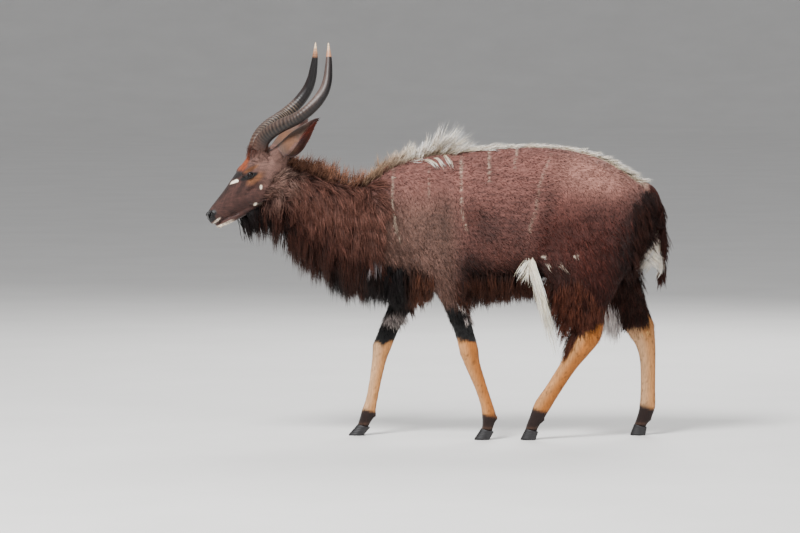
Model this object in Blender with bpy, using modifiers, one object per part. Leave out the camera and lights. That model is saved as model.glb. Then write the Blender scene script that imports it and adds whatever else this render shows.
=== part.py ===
"""A bull nyala at a walk, life size, as a still model in solids parted where its body parts meet.

Metres, +Z up. The animal faces -X, its left side faces -Y and its hooves stand on z = 0.
Everything is first modelled with a straight neck, which is turned a little to the left
at the very end, by moving every vertex along one smooth bend.
"""

import math
import random

import bmesh
import bpy
from mathutils import Matrix, Vector
from mathutils.bvhtree import BVHTree

# Driving sizes, in metres

GAP = 0.0003
FLESH_VOXEL = 0.007
HEAD_VOXEL = 0.0045
LEG_Z = 0.42  # below it the flesh is smoothed least
BODY_TRIANGLES = 2800
HEAD_TRIANGLES = 1450
EYE_RADIUS = 0.0165
TAIL_CLEARANCE = 0.0015
CORONET = 0.036
CORONET_SLOPE = 0.25
TOE_APART = 0.0148
HEAD_TURN = math.radians(12)
TURN_START = -0.33
TURN_LENGTH = 0.20
# How far the turning neck swings to the right
NECK_SWING = 0.008
STIFF_ABOVE = 1.12  # the ears and horns above this height turn with the skull
ROOT_DEPTH = 0.011
LOCK_THICKNESS = 0.012
LOCK_SPANS = 3
LEFT, RIGHT = -1, 1
DOWN = Vector((0, 0, -1))
UP = Vector((0, 0, 1))

# Torso sections: x, height of the back, height of the belly, half width
TORSO = (
    (-0.335, 0.895, 0.675, 0.066),
    (-0.274, 0.972, 0.611, 0.100),
    (-0.218, 1.014, 0.581, 0.118),
    (-0.142, 1.050, 0.563, 0.130),
    (-0.068, 1.069, 0.555, 0.138),
    (0.008, 1.081, 0.555, 0.144),
    (0.120, 1.093, 0.563, 0.152),
    (0.233, 1.102, 0.574, 0.156),
    (0.345, 1.106, 0.589, 0.154),
    (0.458, 1.100, 0.608, 0.146),
    (0.570, 1.077, 0.638, 0.136),
    (0.664, 1.036, 0.660, 0.120),
    (0.735, 0.988, 0.700, 0.092),
    (0.776, 0.950, 0.760, 0.062),
    (0.796, 0.915, 0.830, 0.030),
)
TORSO_WIDEST = 0.46  # share of the depth, from the belly, where it is widest

# Neck sections along its axis: x, z, rise and drop from the axis, half width
NECK = (
    (-0.6225, 0.960, 0.100, 0.085, 0.058),
    (-0.5625, 0.915, 0.126, 0.100, 0.068),
    (-0.480, 0.870, 0.134, 0.132, 0.078),
    (-0.386, 0.821, 0.152, 0.150, 0.092),
    (-0.285, 0.784, 0.195, 0.172, 0.110),
    (-0.172, 0.773, 0.220, 0.170, 0.122),
)

# Legs from the hip or shoulder blade down: x, distance from the middle, z, half depth, half width
FORE_LEFT = (
    (-0.086, 0.060, 0.965, 0.070, 0.036),
    (-0.068, 0.085, 0.850, 0.120, 0.050),
    (-0.023, 0.098, 0.743, 0.134, 0.055),
    (0.019, 0.102, 0.660, 0.105, 0.051),
    (0.045, 0.104, 0.585, 0.079, 0.046),
    (0.060, 0.098, 0.525, 0.057, 0.038),
    (0.079, 0.093, 0.461, 0.045, 0.032),
    (0.099, 0.090, 0.398, 0.040, 0.030),
    (0.116, 0.087, 0.332, 0.039, 0.031),
    (0.129, 0.086, 0.281, 0.032, 0.025),
    (0.159, 0.085, 0.199, 0.0265, 0.021),
    (0.182, 0.085, 0.128, 0.0265, 0.0215),
    (0.190, 0.085, 0.086, 0.030, 0.026),
    (0.186, 0.085, 0.052, 0.0245, 0.025),
    (0.178, 0.085, 0.020, 0.024, 0.026),
)
FORE_RIGHT = (
    (-0.124, 0.060, 0.965, 0.070, 0.036),
    (-0.120, 0.085, 0.850, 0.118, 0.050),
    (-0.098, 0.098, 0.743, 0.125, 0.055),
    (-0.083, 0.102, 0.660, 0.101, 0.051),
    (-0.101, 0.104, 0.585, 0.075, 0.046),
    (-0.128, 0.098, 0.525, 0.056, 0.038),
    (-0.158, 0.093, 0.461, 0.045, 0.032),
    (-0.186, 0.090, 0.398, 0.040, 0.030),
    (-0.210, 0.087, 0.336, 0.038, 0.031),
    (-0.221, 0.086, 0.287, 0.031, 0.025),
    (-0.236, 0.085, 0.204, 0.026, 0.021),
    (-0.251, 0.085, 0.128, 0.026, 0.0215),
    (-0.263, 0.085, 0.084, 0.0295, 0.026),
    (-0.277, 0.085, 0.050, 0.0245, 0.025),
    (-0.289, 0.085, 0.018, 0.024, 0.026),
)
HIND_LEFT = (
    (0.600, 0.045, 0.950, 0.100, 0.045),
    (0.590, 0.064, 0.820, 0.160, 0.068),
    (0.553, 0.076, 0.705, 0.182, 0.076),
    (0.545, 0.086, 0.623, 0.158, 0.069),
    (0.550, 0.098, 0.544, 0.118, 0.057),
    (0.555, 0.098, 0.484, 0.082, 0.045),
    (0.561, 0.096, 0.435, 0.062, 0.037),
    (0.556, 0.095, 0.388, 0.054, 0.034),
    (0.528, 0.094, 0.338, 0.042, 0.0285),
    (0.486, 0.092, 0.277, 0.0345, 0.024),
    (0.430, 0.091, 0.190, 0.0325, 0.0225),
    (0.389, 0.090, 0.126, 0.0345, 0.0265),
    (0.367, 0.090, 0.082, 0.0285, 0.0255),
    (0.352, 0.090, 0.050, 0.0255, 0.0255),
    (0.342, 0.090, 0.018, 0.025, 0.0265),
)
HIND_RIGHT = (
    (0.605, 0.045, 0.950, 0.100, 0.045),
    (0.613, 0.064, 0.820, 0.148, 0.068),
    (0.612, 0.076, 0.705, 0.160, 0.076),
    (0.634, 0.086, 0.623, 0.138, 0.069),
    (0.676, 0.098, 0.548, 0.106, 0.057),
    (0.714, 0.098, 0.491, 0.077, 0.045),
    (0.746, 0.096, 0.443, 0.062, 0.037),
    (0.769, 0.095, 0.396, 0.055, 0.034),
    (0.785, 0.094, 0.346, 0.042, 0.0285),
    (0.793, 0.092, 0.283, 0.0335, 0.024),
    (0.794, 0.091, 0.180, 0.0315, 0.0225),
    (0.792, 0.090, 0.108, 0.0335, 0.0265),
    (0.779, 0.090, 0.070, 0.0280, 0.0255),
    (0.768, 0.090, 0.045, 0.0255, 0.0255),
    (0.757, 0.090, 0.015, 0.025, 0.0265),
)
LEGS = {
    "fore_left": (FORE_LEFT, LEFT),
    "fore_right": (FORE_RIGHT, RIGHT),
    "hind_left": (HIND_LEFT, LEFT),
    "hind_right": (HIND_RIGHT, RIGHT),
}

# The dock of the tail, from the rump to its tip: x, z, half depth, half width
TAIL = (
    (0.755, 0.955, 0.024, 0.022),
    (0.796, 0.942, 0.022, 0.022),
    (0.824, 0.908, 0.019, 0.021),
    (0.838, 0.848, 0.016, 0.019),
    (0.842, 0.773, 0.013, 0.016),
    (0.838, 0.698, 0.009, 0.012),
    (0.832, 0.640, 0.004, 0.006),
)

# The head has its own axes: s runs from the muzzle to the poll, y to its right, h to its brow
HEAD_ORIGIN = Vector((-0.855, 0.0, 0.8325))
HEAD_SLOPE = math.radians(39.4)
# Skull sections: s, brow line, lower line, half width, height of the widest part
SKULL = (
    (-0.018, 0.003, -0.018, 0.013, -0.008),
    (-0.011, 0.013, -0.025, 0.022, -0.006),
    (0.004, 0.024, -0.030, 0.029, -0.003),
    (0.0225, 0.030, -0.035, 0.0305, -0.004),
    (0.050, 0.036, -0.044, 0.031, -0.010),
    (0.0825, 0.043, -0.056, 0.035, -0.014),
    (0.115, 0.051, -0.074, 0.042, -0.014),
    (0.150, 0.061, -0.086, 0.050, -0.008),
    (0.180, 0.069, -0.089, 0.058, 0.002),
    (0.210, 0.077, -0.086, 0.064, 0.012),
    (0.240, 0.084, -0.078, 0.065, 0.014),
    (0.270, 0.089, -0.066, 0.062, 0.014),
    (0.3075, 0.075, -0.053, 0.056, 0.010),
    (0.345, 0.046, -0.040, 0.046, 0.004),
    (0.370, 0.020, -0.022, 0.030, 0.000),
)
# Lower jaw sections: s, upper line, lower line, half width
JAW = (
    (-0.007, -0.028, -0.040, 0.010),
    (0.001, -0.028, -0.050, 0.018),
    (0.0225, -0.034, -0.060, 0.0235),
    (0.050, -0.040, -0.068, 0.025),
    (0.0825, -0.046, -0.075, 0.028),
    (0.120, -0.050, -0.083, 0.032),
    (0.160, -0.050, -0.088, 0.036),
)
MOUTH = ((-0.020, -0.0255), (0.000, -0.029), (0.022, -0.035), (0.052, -0.043), (0.084, -0.053))
# Muscles and ridges of each side of the head: s, y, h and their half sizes
HEAD_FORMS = (
    (0.214, 0.050, 0.056, 0.034, 0.016, 0.016),
    (0.190, 0.040, -0.036, 0.055, 0.022, 0.040),
    (0.200, 0.054, 0.004, 0.042, 0.013, 0.014),
    (0.003, 0.019, 0.011, 0.016, 0.011, 0.012),
    (0.012, 0.019, -0.020, 0.024, 0.012, 0.012),
    (0.012, 0.007, -0.044, 0.020, 0.014, 0.013),
    (0.286, 0.033, 0.072, 0.032, 0.027, 0.028),
    (0.335, 0.044, 0.024, 0.034, 0.022, 0.028),
)
# Muscles and bones of the body: x, y, z and their half sizes
BODY_FORMS = (
    (-0.200, 0.060, 0.730, 0.080, 0.055, 0.100),
    (-0.035, 0.075, 0.890, 0.085, 0.052, 0.130),
    (0.020, 0.104, 0.745, 0.100, 0.038, 0.095),
    (0.560, 0.058, 0.985, 0.100, 0.042, 0.060),
    (0.640, 0.070, 0.850, 0.110, 0.058, 0.120),
)
# Middles of the left eye and nostril: s, y, h
EYE = (0.206, 0.0505, 0.0345)
NOSTRIL = (-0.004, 0.0225, 0.0095)
DEWCLAW = (0.009, 0.0075, 0.013)
DEWCLAW_APART = 0.012

# The left ear: root in the head's axes, then its direction and its opening in the part's
EAR_ROOT = (0.338, 0.047, 0.034)
EAR_AXIS = Vector((0.150, 0.066, 0.129)).normalized()
EAR_OPENING = Vector((0.59, 0.40, -0.70)).normalized()
EAR_LENGTH = 0.208
EAR_HALF_WIDTH = 0.050
EAR_WALL = 0.004
EAR_BASE = 0.030  # how far along its axis the ear leaves the head

# The middle of the left horn: x, distance from the middle, z, radius
HORN = (
    (-0.684, 0.0340, 1.060, 0.0275),
    (-0.681, 0.0350, 1.084, 0.0275),
    (-0.669, 0.0470, 1.118, 0.0270),
    (-0.647, 0.0720, 1.146, 0.0262),
    (-0.614, 0.1080, 1.171, 0.0254),
    (-0.574, 0.1430, 1.193, 0.0244),
    (-0.543, 0.1620, 1.212, 0.0236),
    (-0.508, 0.1710, 1.240, 0.0224),
    (-0.480, 0.1710, 1.269, 0.0210),
    (-0.457, 0.1650, 1.303, 0.0190),
    (-0.443, 0.1550, 1.343, 0.0166),
    (-0.437, 0.1440, 1.388, 0.0138),
    (-0.434, 0.1340, 1.433, 0.0098),
    (-0.434, 0.1260, 1.481, 0.0015),
)
HORN_RIDGES = 9
HORN_TWIST = math.radians(300)

# Lines in x and z that locks of hair are rooted along
NECK_HIGH = ((-0.530, 0.945), (-0.300, 0.885))
NECK_MIDDLE = ((-0.585, 0.880), (-0.450, 0.800), (-0.295, 0.755))
NECK_LOW = ((-0.605, 0.820), (-0.500, 0.740), (-0.400, 0.685), (-0.290, 0.645))
THROAT = ((-0.590, 0.790), (-0.480, 0.690), (-0.370, 0.620), (-0.295, 0.600))
NAPE = ((-0.505, 1.030), (-0.290, 0.970))
WITHERS = ((-0.285, 0.990), (-0.150, 1.060), (0.070, 1.100))
BACK = ((0.050, 1.100), (0.400, 1.100), (0.600, 1.080))
RUMP = ((0.600, 1.080), (0.730, 1.000))
BRISKET_SIDE = ((-0.265, 0.650), (-0.195, 0.615))
BRISKET = ((-0.265, 0.580), (0.050, 0.555))
FLANK = ((0.135, 0.605), (0.350, 0.635))
BELLY = ((0.080, 0.555), (0.345, 0.590))
BEARD = ((-0.728, 0.740), (-0.655, 0.790))
BEARD_SIDE = ((-0.715, 0.740), (-0.650, 0.790))

# Lines in x and z between the body's parts, and heights and places on its legs
HEAD_CUT = ((-0.544, 1.061), (-0.6225, 0.799))
NECK_CUT = ((-0.262, 1.030), (-0.292, 0.470))
FORELEG_TOP = 0.556
HAUNCH = ((0.362, 0.655), (0.803, 0.908))
TAIL_CUT = ((0.8210, 0.945), (0.7900, 0.811))
SOLES = {"fore_left": 0.163, "fore_right": -0.309, "hind_left": 0.336, "hind_right": 0.756}
SHANK_TOP = {"fore_left": 0.372, "fore_right": 0.378, "hind_left": 0.425, "hind_right": 0.428}

COLOURS = {
    "coat": (0.115, 0.060, 0.050),
    "mane": (0.045, 0.018, 0.016),
    "tan": (0.500, 0.270, 0.140),
    "horn": (0.090, 0.072, 0.065),
    "hoof": (0.030, 0.027, 0.030),
    "ear": (0.140, 0.080, 0.060),
    "eye": (0.010, 0.006, 0.004),
}


def clear_scene():
    for old in list(bpy.data.objects):
        bpy.data.objects.remove(old)


def collection(name):
    made = bpy.data.collections.new(name)
    bpy.context.scene.collection.children.link(made)
    return made


def material(name, roughness):
    made = bpy.data.materials.new(name)
    made.use_nodes = True
    shader = made.node_tree.nodes["Principled BSDF"]
    shader.inputs["Base Color"].default_value = (*COLOURS[name], 1)
    shader.inputs["Roughness"].default_value = roughness
    return made


def object_from(name, made, group):
    """An object in the group, from a bmesh, with its faces turned outward."""
    bmesh.ops.recalc_face_normals(made, faces=made.faces)
    mesh = bpy.data.meshes.new(name)
    made.to_mesh(mesh)
    made.free()
    found = bpy.data.objects.new(name, mesh)
    group.objects.link(found)
    return found


def smooth_rows(rows, steps):
    """Rows of numbers with steps rows to each span, on a Catmull-Rom curve through them."""
    made = []
    for i in range(len(rows) - 1):
        before, a = rows[max(i - 1, 0)], rows[i]
        b, after = rows[i + 1], rows[min(i + 2, len(rows) - 1)]
        for k in range(steps):
            t = k / steps
            made.append(tuple(
                0.5 * (2 * q + (r - p) * t + (2 * p - 5 * q + 4 * r - s) * t * t
                       + (3 * q - p - 3 * r + s) * t ** 3)
                for p, q, r, s in zip(before, a, b, after)
            ))
    return made + [tuple(rows[-1])]


def superellipse(half_width, rise, drop, power_up, power_down, sides):
    """(across, above) pairs round a closed section."""
    points = []
    for k in range(sides):
        a = 2 * math.pi * k / sides
        c, s = math.cos(a), math.sin(a)
        power = 2 / (power_up if s > 0 else power_down)
        across = half_width * math.copysign(abs(c) ** power, c)
        above = (rise if s > 0 else drop) * math.copysign(abs(s) ** power, s)
        points.append((across, above))
    return points


def loft(name, rings, group):
    """A closed body through rings of as many points each."""
    made = bmesh.new()
    rows = [[made.verts.new(p) for p in ring] for ring in rings]
    count = len(rows[0])
    for a, b in zip(rows, rows[1:]):
        for k in range(count):
            made.faces.new((a[k], a[(k + 1) % count], b[(k + 1) % count], b[k]))
    made.faces.new(rows[0])
    made.faces.new(rows[-1][::-1])
    return object_from(name, made, group)


def ball(name, centre, sizes, tilt, group, segments=16):
    """An ellipsoid with its half sizes along x, y and z, tilted about y."""
    made = bmesh.new()
    shape = Matrix.LocRotScale(centre, Matrix.Rotation(tilt, 3, "Y"), Vector(sizes))
    bmesh.ops.create_uvsphere(
        made, u_segments=segments, v_segments=segments * 5 // 8, radius=1, matrix=shape,
    )
    return object_from(name, made, group)


def tube_rings(path, sides, power=2.0):
    """Rings round a path in the xz plane. A row is the centre, half depth and half width."""
    rings = []
    for i, (centre, half_depth, half_width) in enumerate(path):
        ahead, behind = path[min(i + 1, len(path) - 1)][0], path[max(i - 1, 0)][0]
        along = ahead - behind
        along.y = 0
        across = Vector((0, 1, 0))
        front = along.normalized().cross(across)
        ring = superellipse(half_width, half_depth, half_depth, power, power, sides)
        rings.append([centre + across * y + front * d for y, d in ring])
    return rings


def head_place(s, y, h):
    """A place of the head's own axes in the part's axes."""
    c, k = math.cos(HEAD_SLOPE), math.sin(HEAD_SLOPE)
    return HEAD_ORIGIN + Vector((s * c - h * k, y, s * k + h * c))


def sided(vector, side):
    return Vector((vector[0], vector[1] * side, vector[2]))


def ear_seat(side):
    """The root of an ear on the skull, and the way it points."""
    root = head_place(EAR_ROOT[0], side * EAR_ROOT[1], EAR_ROOT[2])
    return root, sided(EAR_AXIS, side)


def torso_body(group):
    rings = []
    for x, back, belly, half_width in smooth_rows(TORSO, 3):
        middle = belly + (back - belly) * TORSO_WIDEST
        ring = superellipse(half_width, back - middle, middle - belly, 1.85, 2.15, 40)
        rings.append([Vector((x, y, middle + h)) for y, h in ring])
    loft("torso_body", rings, group)


def neck_body(stations, group):
    rows = smooth_rows(stations, 4)
    rings = []
    for i, (x, z, rise, drop, half_width) in enumerate(rows):
        a, b = rows[max(i - 1, 0)], rows[min(i + 1, len(rows) - 1)]
        along = Vector((b[0] - a[0], 0, b[1] - a[1])).normalized()
        above = along.cross(Vector((0, 1, 0)))
        ring = superellipse(half_width, rise, drop, 1.7, 2.1, 36)
        rings.append([Vector((x, y, z)) + above * h for y, h in ring])
    loft("neck_body", rings, group)


def leg_body(name, rows, side, group):
    path = [
        (Vector((x, side * y, z)), depth, width)
        for x, y, z, depth, width in smooth_rows(rows, 3)
    ]
    loft(name + "_body", tube_rings(path, 24, 2.15), group)


def joint_forms(group):
    """The points of the hocks, the knees, the elbows and the dewclaws, which stand out from the lofts."""
    for name, (rows, side) in LEGS.items():
        x, y, z, depth, _ = rows[12]
        for toe in (LEFT, RIGHT):
            claw = Vector((x + depth * 0.92, side * y + toe * DEWCLAW_APART, z - 0.008))
            ball(f"{name}_claw_{toe}", claw, DEWCLAW, 0.4, group, 8)
        hind = name.startswith("hind")
        x, y, z, depth, _ = rows[7] if hind else rows[8]
        if hind:
            lean = 0.5 if side == LEFT else 0.1
            point = Vector((x + depth * 0.62, side * y, z + 0.012))
            ball(name + "_hock", point, (0.021, 0.021, 0.034), lean, group)
        else:
            point = Vector((x - depth * 0.25, side * y, z))
            ball(name + "_knee", point, (0.031, 0.032, 0.036), 0, group)
            elbow = Vector((rows[3][0] + 0.082, side * (y + 0.018), rows[3][2] + 0.012))
            ball(name + "_elbow", elbow, (0.030, 0.026, 0.040), 0.3, group)


def skull_bodies(group):
    rings = []
    for s, top, low, half_width, widest in smooth_rows(SKULL, 4):
        ring = superellipse(half_width, top - widest, widest - low, 2.0, 1.85, 32)
        rings.append([head_place(s, y, widest + h) for y, h in ring])
    loft("skull", rings, group)
    rings = []
    for s, top, low, half_width in smooth_rows(JAW, 4):
        middle = (top + low) / 2
        ring = superellipse(half_width, top - middle, middle - low, 2.4, 2.0, 24)
        rings.append([head_place(s, y, middle + h) for y, h in ring])
    loft("jaw", rings, group)


def head_forms(group):
    for side in (LEFT, RIGHT):
        for s, y, h, *sizes in HEAD_FORMS:
            ball(f"form_{side}", head_place(s, side * y, h), sizes, -HEAD_SLOPE, group)
        s, y, h = EYE
        lid = EYE_RADIUS + 0.003
        ball(f"lid_{side}", head_place(s, side * y, h), (lid, lid, lid), 0, group)
        root, axis = ear_seat(side)
        stub(f"ear_stub_{side}", root - axis * 0.02, root + axis * (EAR_BASE + 0.02), 0.023, group)
        low, high = (sided(HORN[k][:3], side) for k in (0, 1))
        out = (high - low).normalized()
        stub(f"horn_stub_{side}", low - out * 0.02, high, HORN[0][3] + 0.001, group)


def stub(name, low, high, radius, group, sides=20):
    """A round rod from one point to another."""
    made = bmesh.new()
    turn = (high - low).to_track_quat("Z", "Y").to_matrix().to_4x4()
    place = Matrix.Translation((low + high) / 2) @ turn
    bmesh.ops.create_cone(
        made, cap_ends=True, segments=sides, radius1=radius, radius2=radius,
        depth=(high - low).length, matrix=place,
    )
    return object_from(name, made, group)


def evaluated_copy(source, name, group):
    graph = bpy.context.evaluated_depsgraph_get()
    mesh = bpy.data.meshes.new_from_object(source.evaluated_get(graph))
    mesh.name = name
    made = bpy.data.objects.new(name, mesh)
    group.objects.link(made)
    return made


def remove(objects):
    for old in list(objects):
        bpy.data.objects.remove(old)


def joined(name, pieces, group):
    """One object with the meshes of all the pieces, which are removed."""
    made = bmesh.new()
    for piece in pieces:
        made.from_mesh(piece.data)
    remove(pieces)
    return object_from(name, made, group)


def fused_flesh(name, pieces, voxel, rounds, triangles, group):
    """The pieces as one smooth skin with about so many triangles."""
    rough = joined(name + "_rough", pieces, group)
    remesh = rough.modifiers.new("Fuse", "REMESH")
    remesh.mode = "VOXEL"
    remesh.voxel_size = voxel
    fine = evaluated_copy(rough, name + "_fine", group)
    remove([rough])
    broad = fine.vertex_groups.new(name="broad")
    for vert in fine.data.vertices:
        broad.add([vert.index], min(max((vert.co.z - LEG_Z) / 0.2, 0.12), 1), "REPLACE")
    smooth = fine.modifiers.new("Smooth", "SMOOTH")
    smooth.factor = 0.5
    smooth.iterations = rounds
    smooth.vertex_group = broad.name
    count = sum(len(face.vertices) - 2 for face in fine.data.polygons)
    decimate = fine.modifiers.new("Fewer", "DECIMATE")
    decimate.ratio = triangles / count
    made = evaluated_copy(fine, name, group)
    remove([fine])
    return made


def carve(target, cutter, operation="DIFFERENCE"):
    """Applies one Boolean with a mesh object, and keeps the cutter. The exact solver loses thin locks."""
    modifier = target.modifiers.new("Cut", "BOOLEAN")
    modifier.operation = operation
    modifier.solver = "MANIFOLD"
    modifier.object = cutter
    graph = bpy.context.evaluated_depsgraph_get()
    mesh = bpy.data.meshes.new_from_object(target.evaluated_get(graph))
    target.modifiers.clear()
    target.data = mesh


def fuse(target, pieces):
    """Joins a collection of closed pieces to the target, then removes the pieces."""
    modifier = target.modifiers.new("Join", "BOOLEAN")
    modifier.operation = "UNION"
    modifier.operand_type = "COLLECTION"
    modifier.solver = "MANIFOLD"
    modifier.collection = pieces
    graph = bpy.context.evaluated_depsgraph_get()
    mesh = bpy.data.meshes.new_from_object(target.evaluated_get(graph))
    target.modifiers.clear()
    target.data = mesh
    remove(pieces.objects)


def keep_largest(target):
    """Drops all but the largest closed surface of a mesh."""
    made = bmesh.new()
    made.from_mesh(target.data)
    left = set(made.verts)
    parts = []
    while left:
        seed = left.pop()
        part, front = {seed}, [seed]
        while front:
            for edge in front.pop().link_edges:
                for vert in edge.verts:
                    if vert in left:
                        left.discard(vert)
                        part.add(vert)
                        front.append(vert)
        parts.append(part)
    parts.sort(key=len)
    scraps = [vert for part in parts[:-1] for vert in part]
    bmesh.ops.delete(made, geom=scraps, context="VERTS")
    made.to_mesh(target.data)
    made.free()


def swell(target, by):
    """Moves every vertex out along its normal."""
    normals = [vert.normal.copy() for vert in target.data.vertices]
    for vert, normal in zip(target.data.vertices, normals):
        vert.co += normal * by


def prism(name, outline, low, high, group):
    """A block with an outline in x and z, from one y to another."""
    rings = [[Vector((x, y, z)) for x, z in outline] for y in (low, high)]
    return loft(name, rings, group)


def beside_line(name, line, grow, ahead, group):
    """A block on one side of a line in x and z: all that lies ahead of it, or behind it."""
    a, b = (Vector((x, 0, z)) for x, z in line)
    along = (b - a).normalized()
    out = along.cross(Vector((0, 1, 0))) * (-1 if ahead else 1)
    a, b = a - along * 2 - out * grow, b + along * 2 - out * grow
    outline = [(p.x, p.z) for p in (a, b, b + out * 3, a + out * 3)]
    return prism(name, outline, -1.5, 1.5, group)


def turned(point):
    """Where a point of the straight model lies once the neck has turned to the left."""
    ahead = TURN_START - point.x
    if ahead <= 0:
        return point.copy()
    bent = TURN_LENGTH if point.z > STIFF_ABOVE else min(ahead, TURN_LENGTH)
    angle = HEAD_TURN * bent / TURN_LENGTH
    radius = TURN_LENGTH / HEAD_TURN
    x = TURN_START - radius * math.sin(angle) - (ahead - bent) * math.cos(angle)
    y = -radius * (1 - math.cos(angle)) - (ahead - bent) * math.sin(angle)
    share = bent / TURN_LENGTH
    y += NECK_SWING * share * share * (3 - 2 * share)
    return Vector((x - math.sin(angle) * point.y, y + math.cos(angle) * point.y, point.z))


def turn_all(objects):
    for found in objects:
        for vert in found.data.vertices:
            vert.co = turned(vert.co)


def horn(name, side, sides, steps, group):
    """A horn that twists once round, ridged on its lower half and smooth at its tip."""
    rows = smooth_rows(HORN[1:], steps)
    places = [sided(row[:3], side) for row in rows]
    rings = []
    front = Vector((-1, 0, 0))
    seat = (sided(HORN[1][:3], side) - sided(HORN[0][:3], side)).normalized()
    for i, (place, row) in enumerate(zip(places, rows)):
        along = (places[min(i + 1, len(rows) - 1)] - places[max(i - 1, 0)]).normalized()
        along = seat if i == 0 else along
        front = (front - along * front.dot(along)).normalized()
        across = along.cross(front)
        share = i / (len(rows) - 1)
        keel = side * HORN_TWIST * share + math.pi * 0.9
        ridge = 0.0011 * (1 + math.cos(2 * math.pi * HORN_RIDGES * share / 0.55))
        ridge *= max(0, 1 - share / 0.6)
        ring = []
        for k in range(sides):
            a = 2 * math.pi * k / sides
            bulge = 1 + 0.13 * max(0, math.cos(a - keel)) ** 3
            radius = row[3] * bulge + ridge * (0.35 + 0.65 * math.cos(a / 2) ** 2)
            ring.append(place + (front * math.cos(a) + across * math.sin(a)) * radius)
        rings.append(ring)
    rings[0] = [p + seat * GAP for p in rings[0]]
    return loft(name, rings, group)


def ear(name, side, group):
    """A cupped leaf with a solid root, cut flat where it leaves the head."""
    root, axis = ear_seat(side)
    opening = sided(EAR_OPENING, side)
    opening = (opening - axis * opening.dot(axis)).normalized()
    across = axis.cross(opening) * side
    made = bmesh.new()
    grid = []
    for i in range(8):
        u = i / 7
        width = EAR_HALF_WIDTH * math.sin(math.pi * (0.14 + 0.86 * u) ** 0.85) ** 0.8 + 0.0015
        wrap = math.radians(122 - 60 * u)
        radius = width / math.sin(min(wrap, math.pi / 2))
        centre = root + axis * (EAR_BASE - 0.004 + (EAR_LENGTH - EAR_BASE) * u)
        row = []
        for k in range(7):
            a = wrap * (k / 3 - 1)
            row.append(made.verts.new(
                centre + across * radius * math.sin(a) + opening * (width * 0.6 - radius * math.cos(a))
            ))
        grid.append(row)
    for a, b in zip(grid, grid[1:]):
        for k in range(6):
            made.faces.new((a[k], a[k + 1], b[k + 1], b[k]))
    leaf = object_from(name, made, group)
    wall = leaf.modifiers.new("Wall", "SOLIDIFY")
    wall.thickness = EAR_WALL
    wall.offset = 0
    shell = evaluated_copy(leaf, name, group)
    remove([leaf])
    shell.name = name
    pieces = collection(name + "_pieces")
    stub(name + "_root", root + axis * 0.01, root + axis * (EAR_BASE + 0.022), 0.0225, pieces, 14)
    fuse(shell, pieces)
    block = stub(name + "_cut", root - axis * 0.2, root + axis * (EAR_BASE + GAP / 2), 0.3, group, 8)
    carve(shell, block)
    remove([block])
    keep_largest(shell)


def lock_rings(path, widths, thicknesses, outward):
    """Flat four-sided rings along a path, with their broad faces towards outward."""
    rings = []
    for i, point in enumerate(path):
        along = (path[min(i + 1, len(path) - 1)] - path[max(i - 1, 0)]).normalized()
        across = along.cross(outward[i])
        if across.length < 1e-4:
            across = along.cross(Vector((1, 0.3, 0)))
        across.normalize()
        thin = along.cross(across)
        w, t = widths[i] / 2, thicknesses[i] / 2
        rings.append([point + across * w, point + thin * t, point - across * w, point - thin * t])
    return rings


def lock(name, path, width, thickness, outward, group):
    """A flat lock of hair, widest a third of the way along, that tapers to a point."""
    made = bmesh.new()
    count = len(path) - 1
    widths = [width * (0.5 + 2.1 * s - 2.4 * s * s) for s in (i / count for i in range(count + 1))]
    thicknesses = [thickness * (1 - 0.6 * i / count) for i in range(count + 1)]
    rings = lock_rings(path, widths, thicknesses, outward)
    rows = [[made.verts.new(p) for p in ring] for ring in rings[:-1]]
    tip = made.verts.new(path[-1])
    for a, b in zip(rows, rows[1:]):
        for k in range(4):
            made.faces.new((a[k], a[(k + 1) % 4], b[(k + 1) % 4], b[k]))
    for k in range(4):
        made.faces.new((rows[-1][k], rows[-1][(k + 1) % 4], tip))
    made.faces.new(rows[0])
    return object_from(name, made, group)


def hang(surface, start, normal, heading, length, lift, weight, spans):
    """A path from inside the surface that lies along it, sinks with its weight and hangs free below."""
    path, outward = [start - normal * ROOT_DEPTH], [normal]
    point, direction = start, heading.normalized()
    for k in range(spans):
        share = (k + 1) / spans
        direction = (direction + DOWN * weight).normalized()
        point = point + direction * length / spans
        near, facing, _, _ = surface.find_nearest(point)
        clear = lift * (0.5 + share)
        if (point - near).dot(facing) < clear:
            point = near + facing * clear
        path.append(point)
        outward.append((facing + normal).normalized())
    return path, outward


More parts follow.
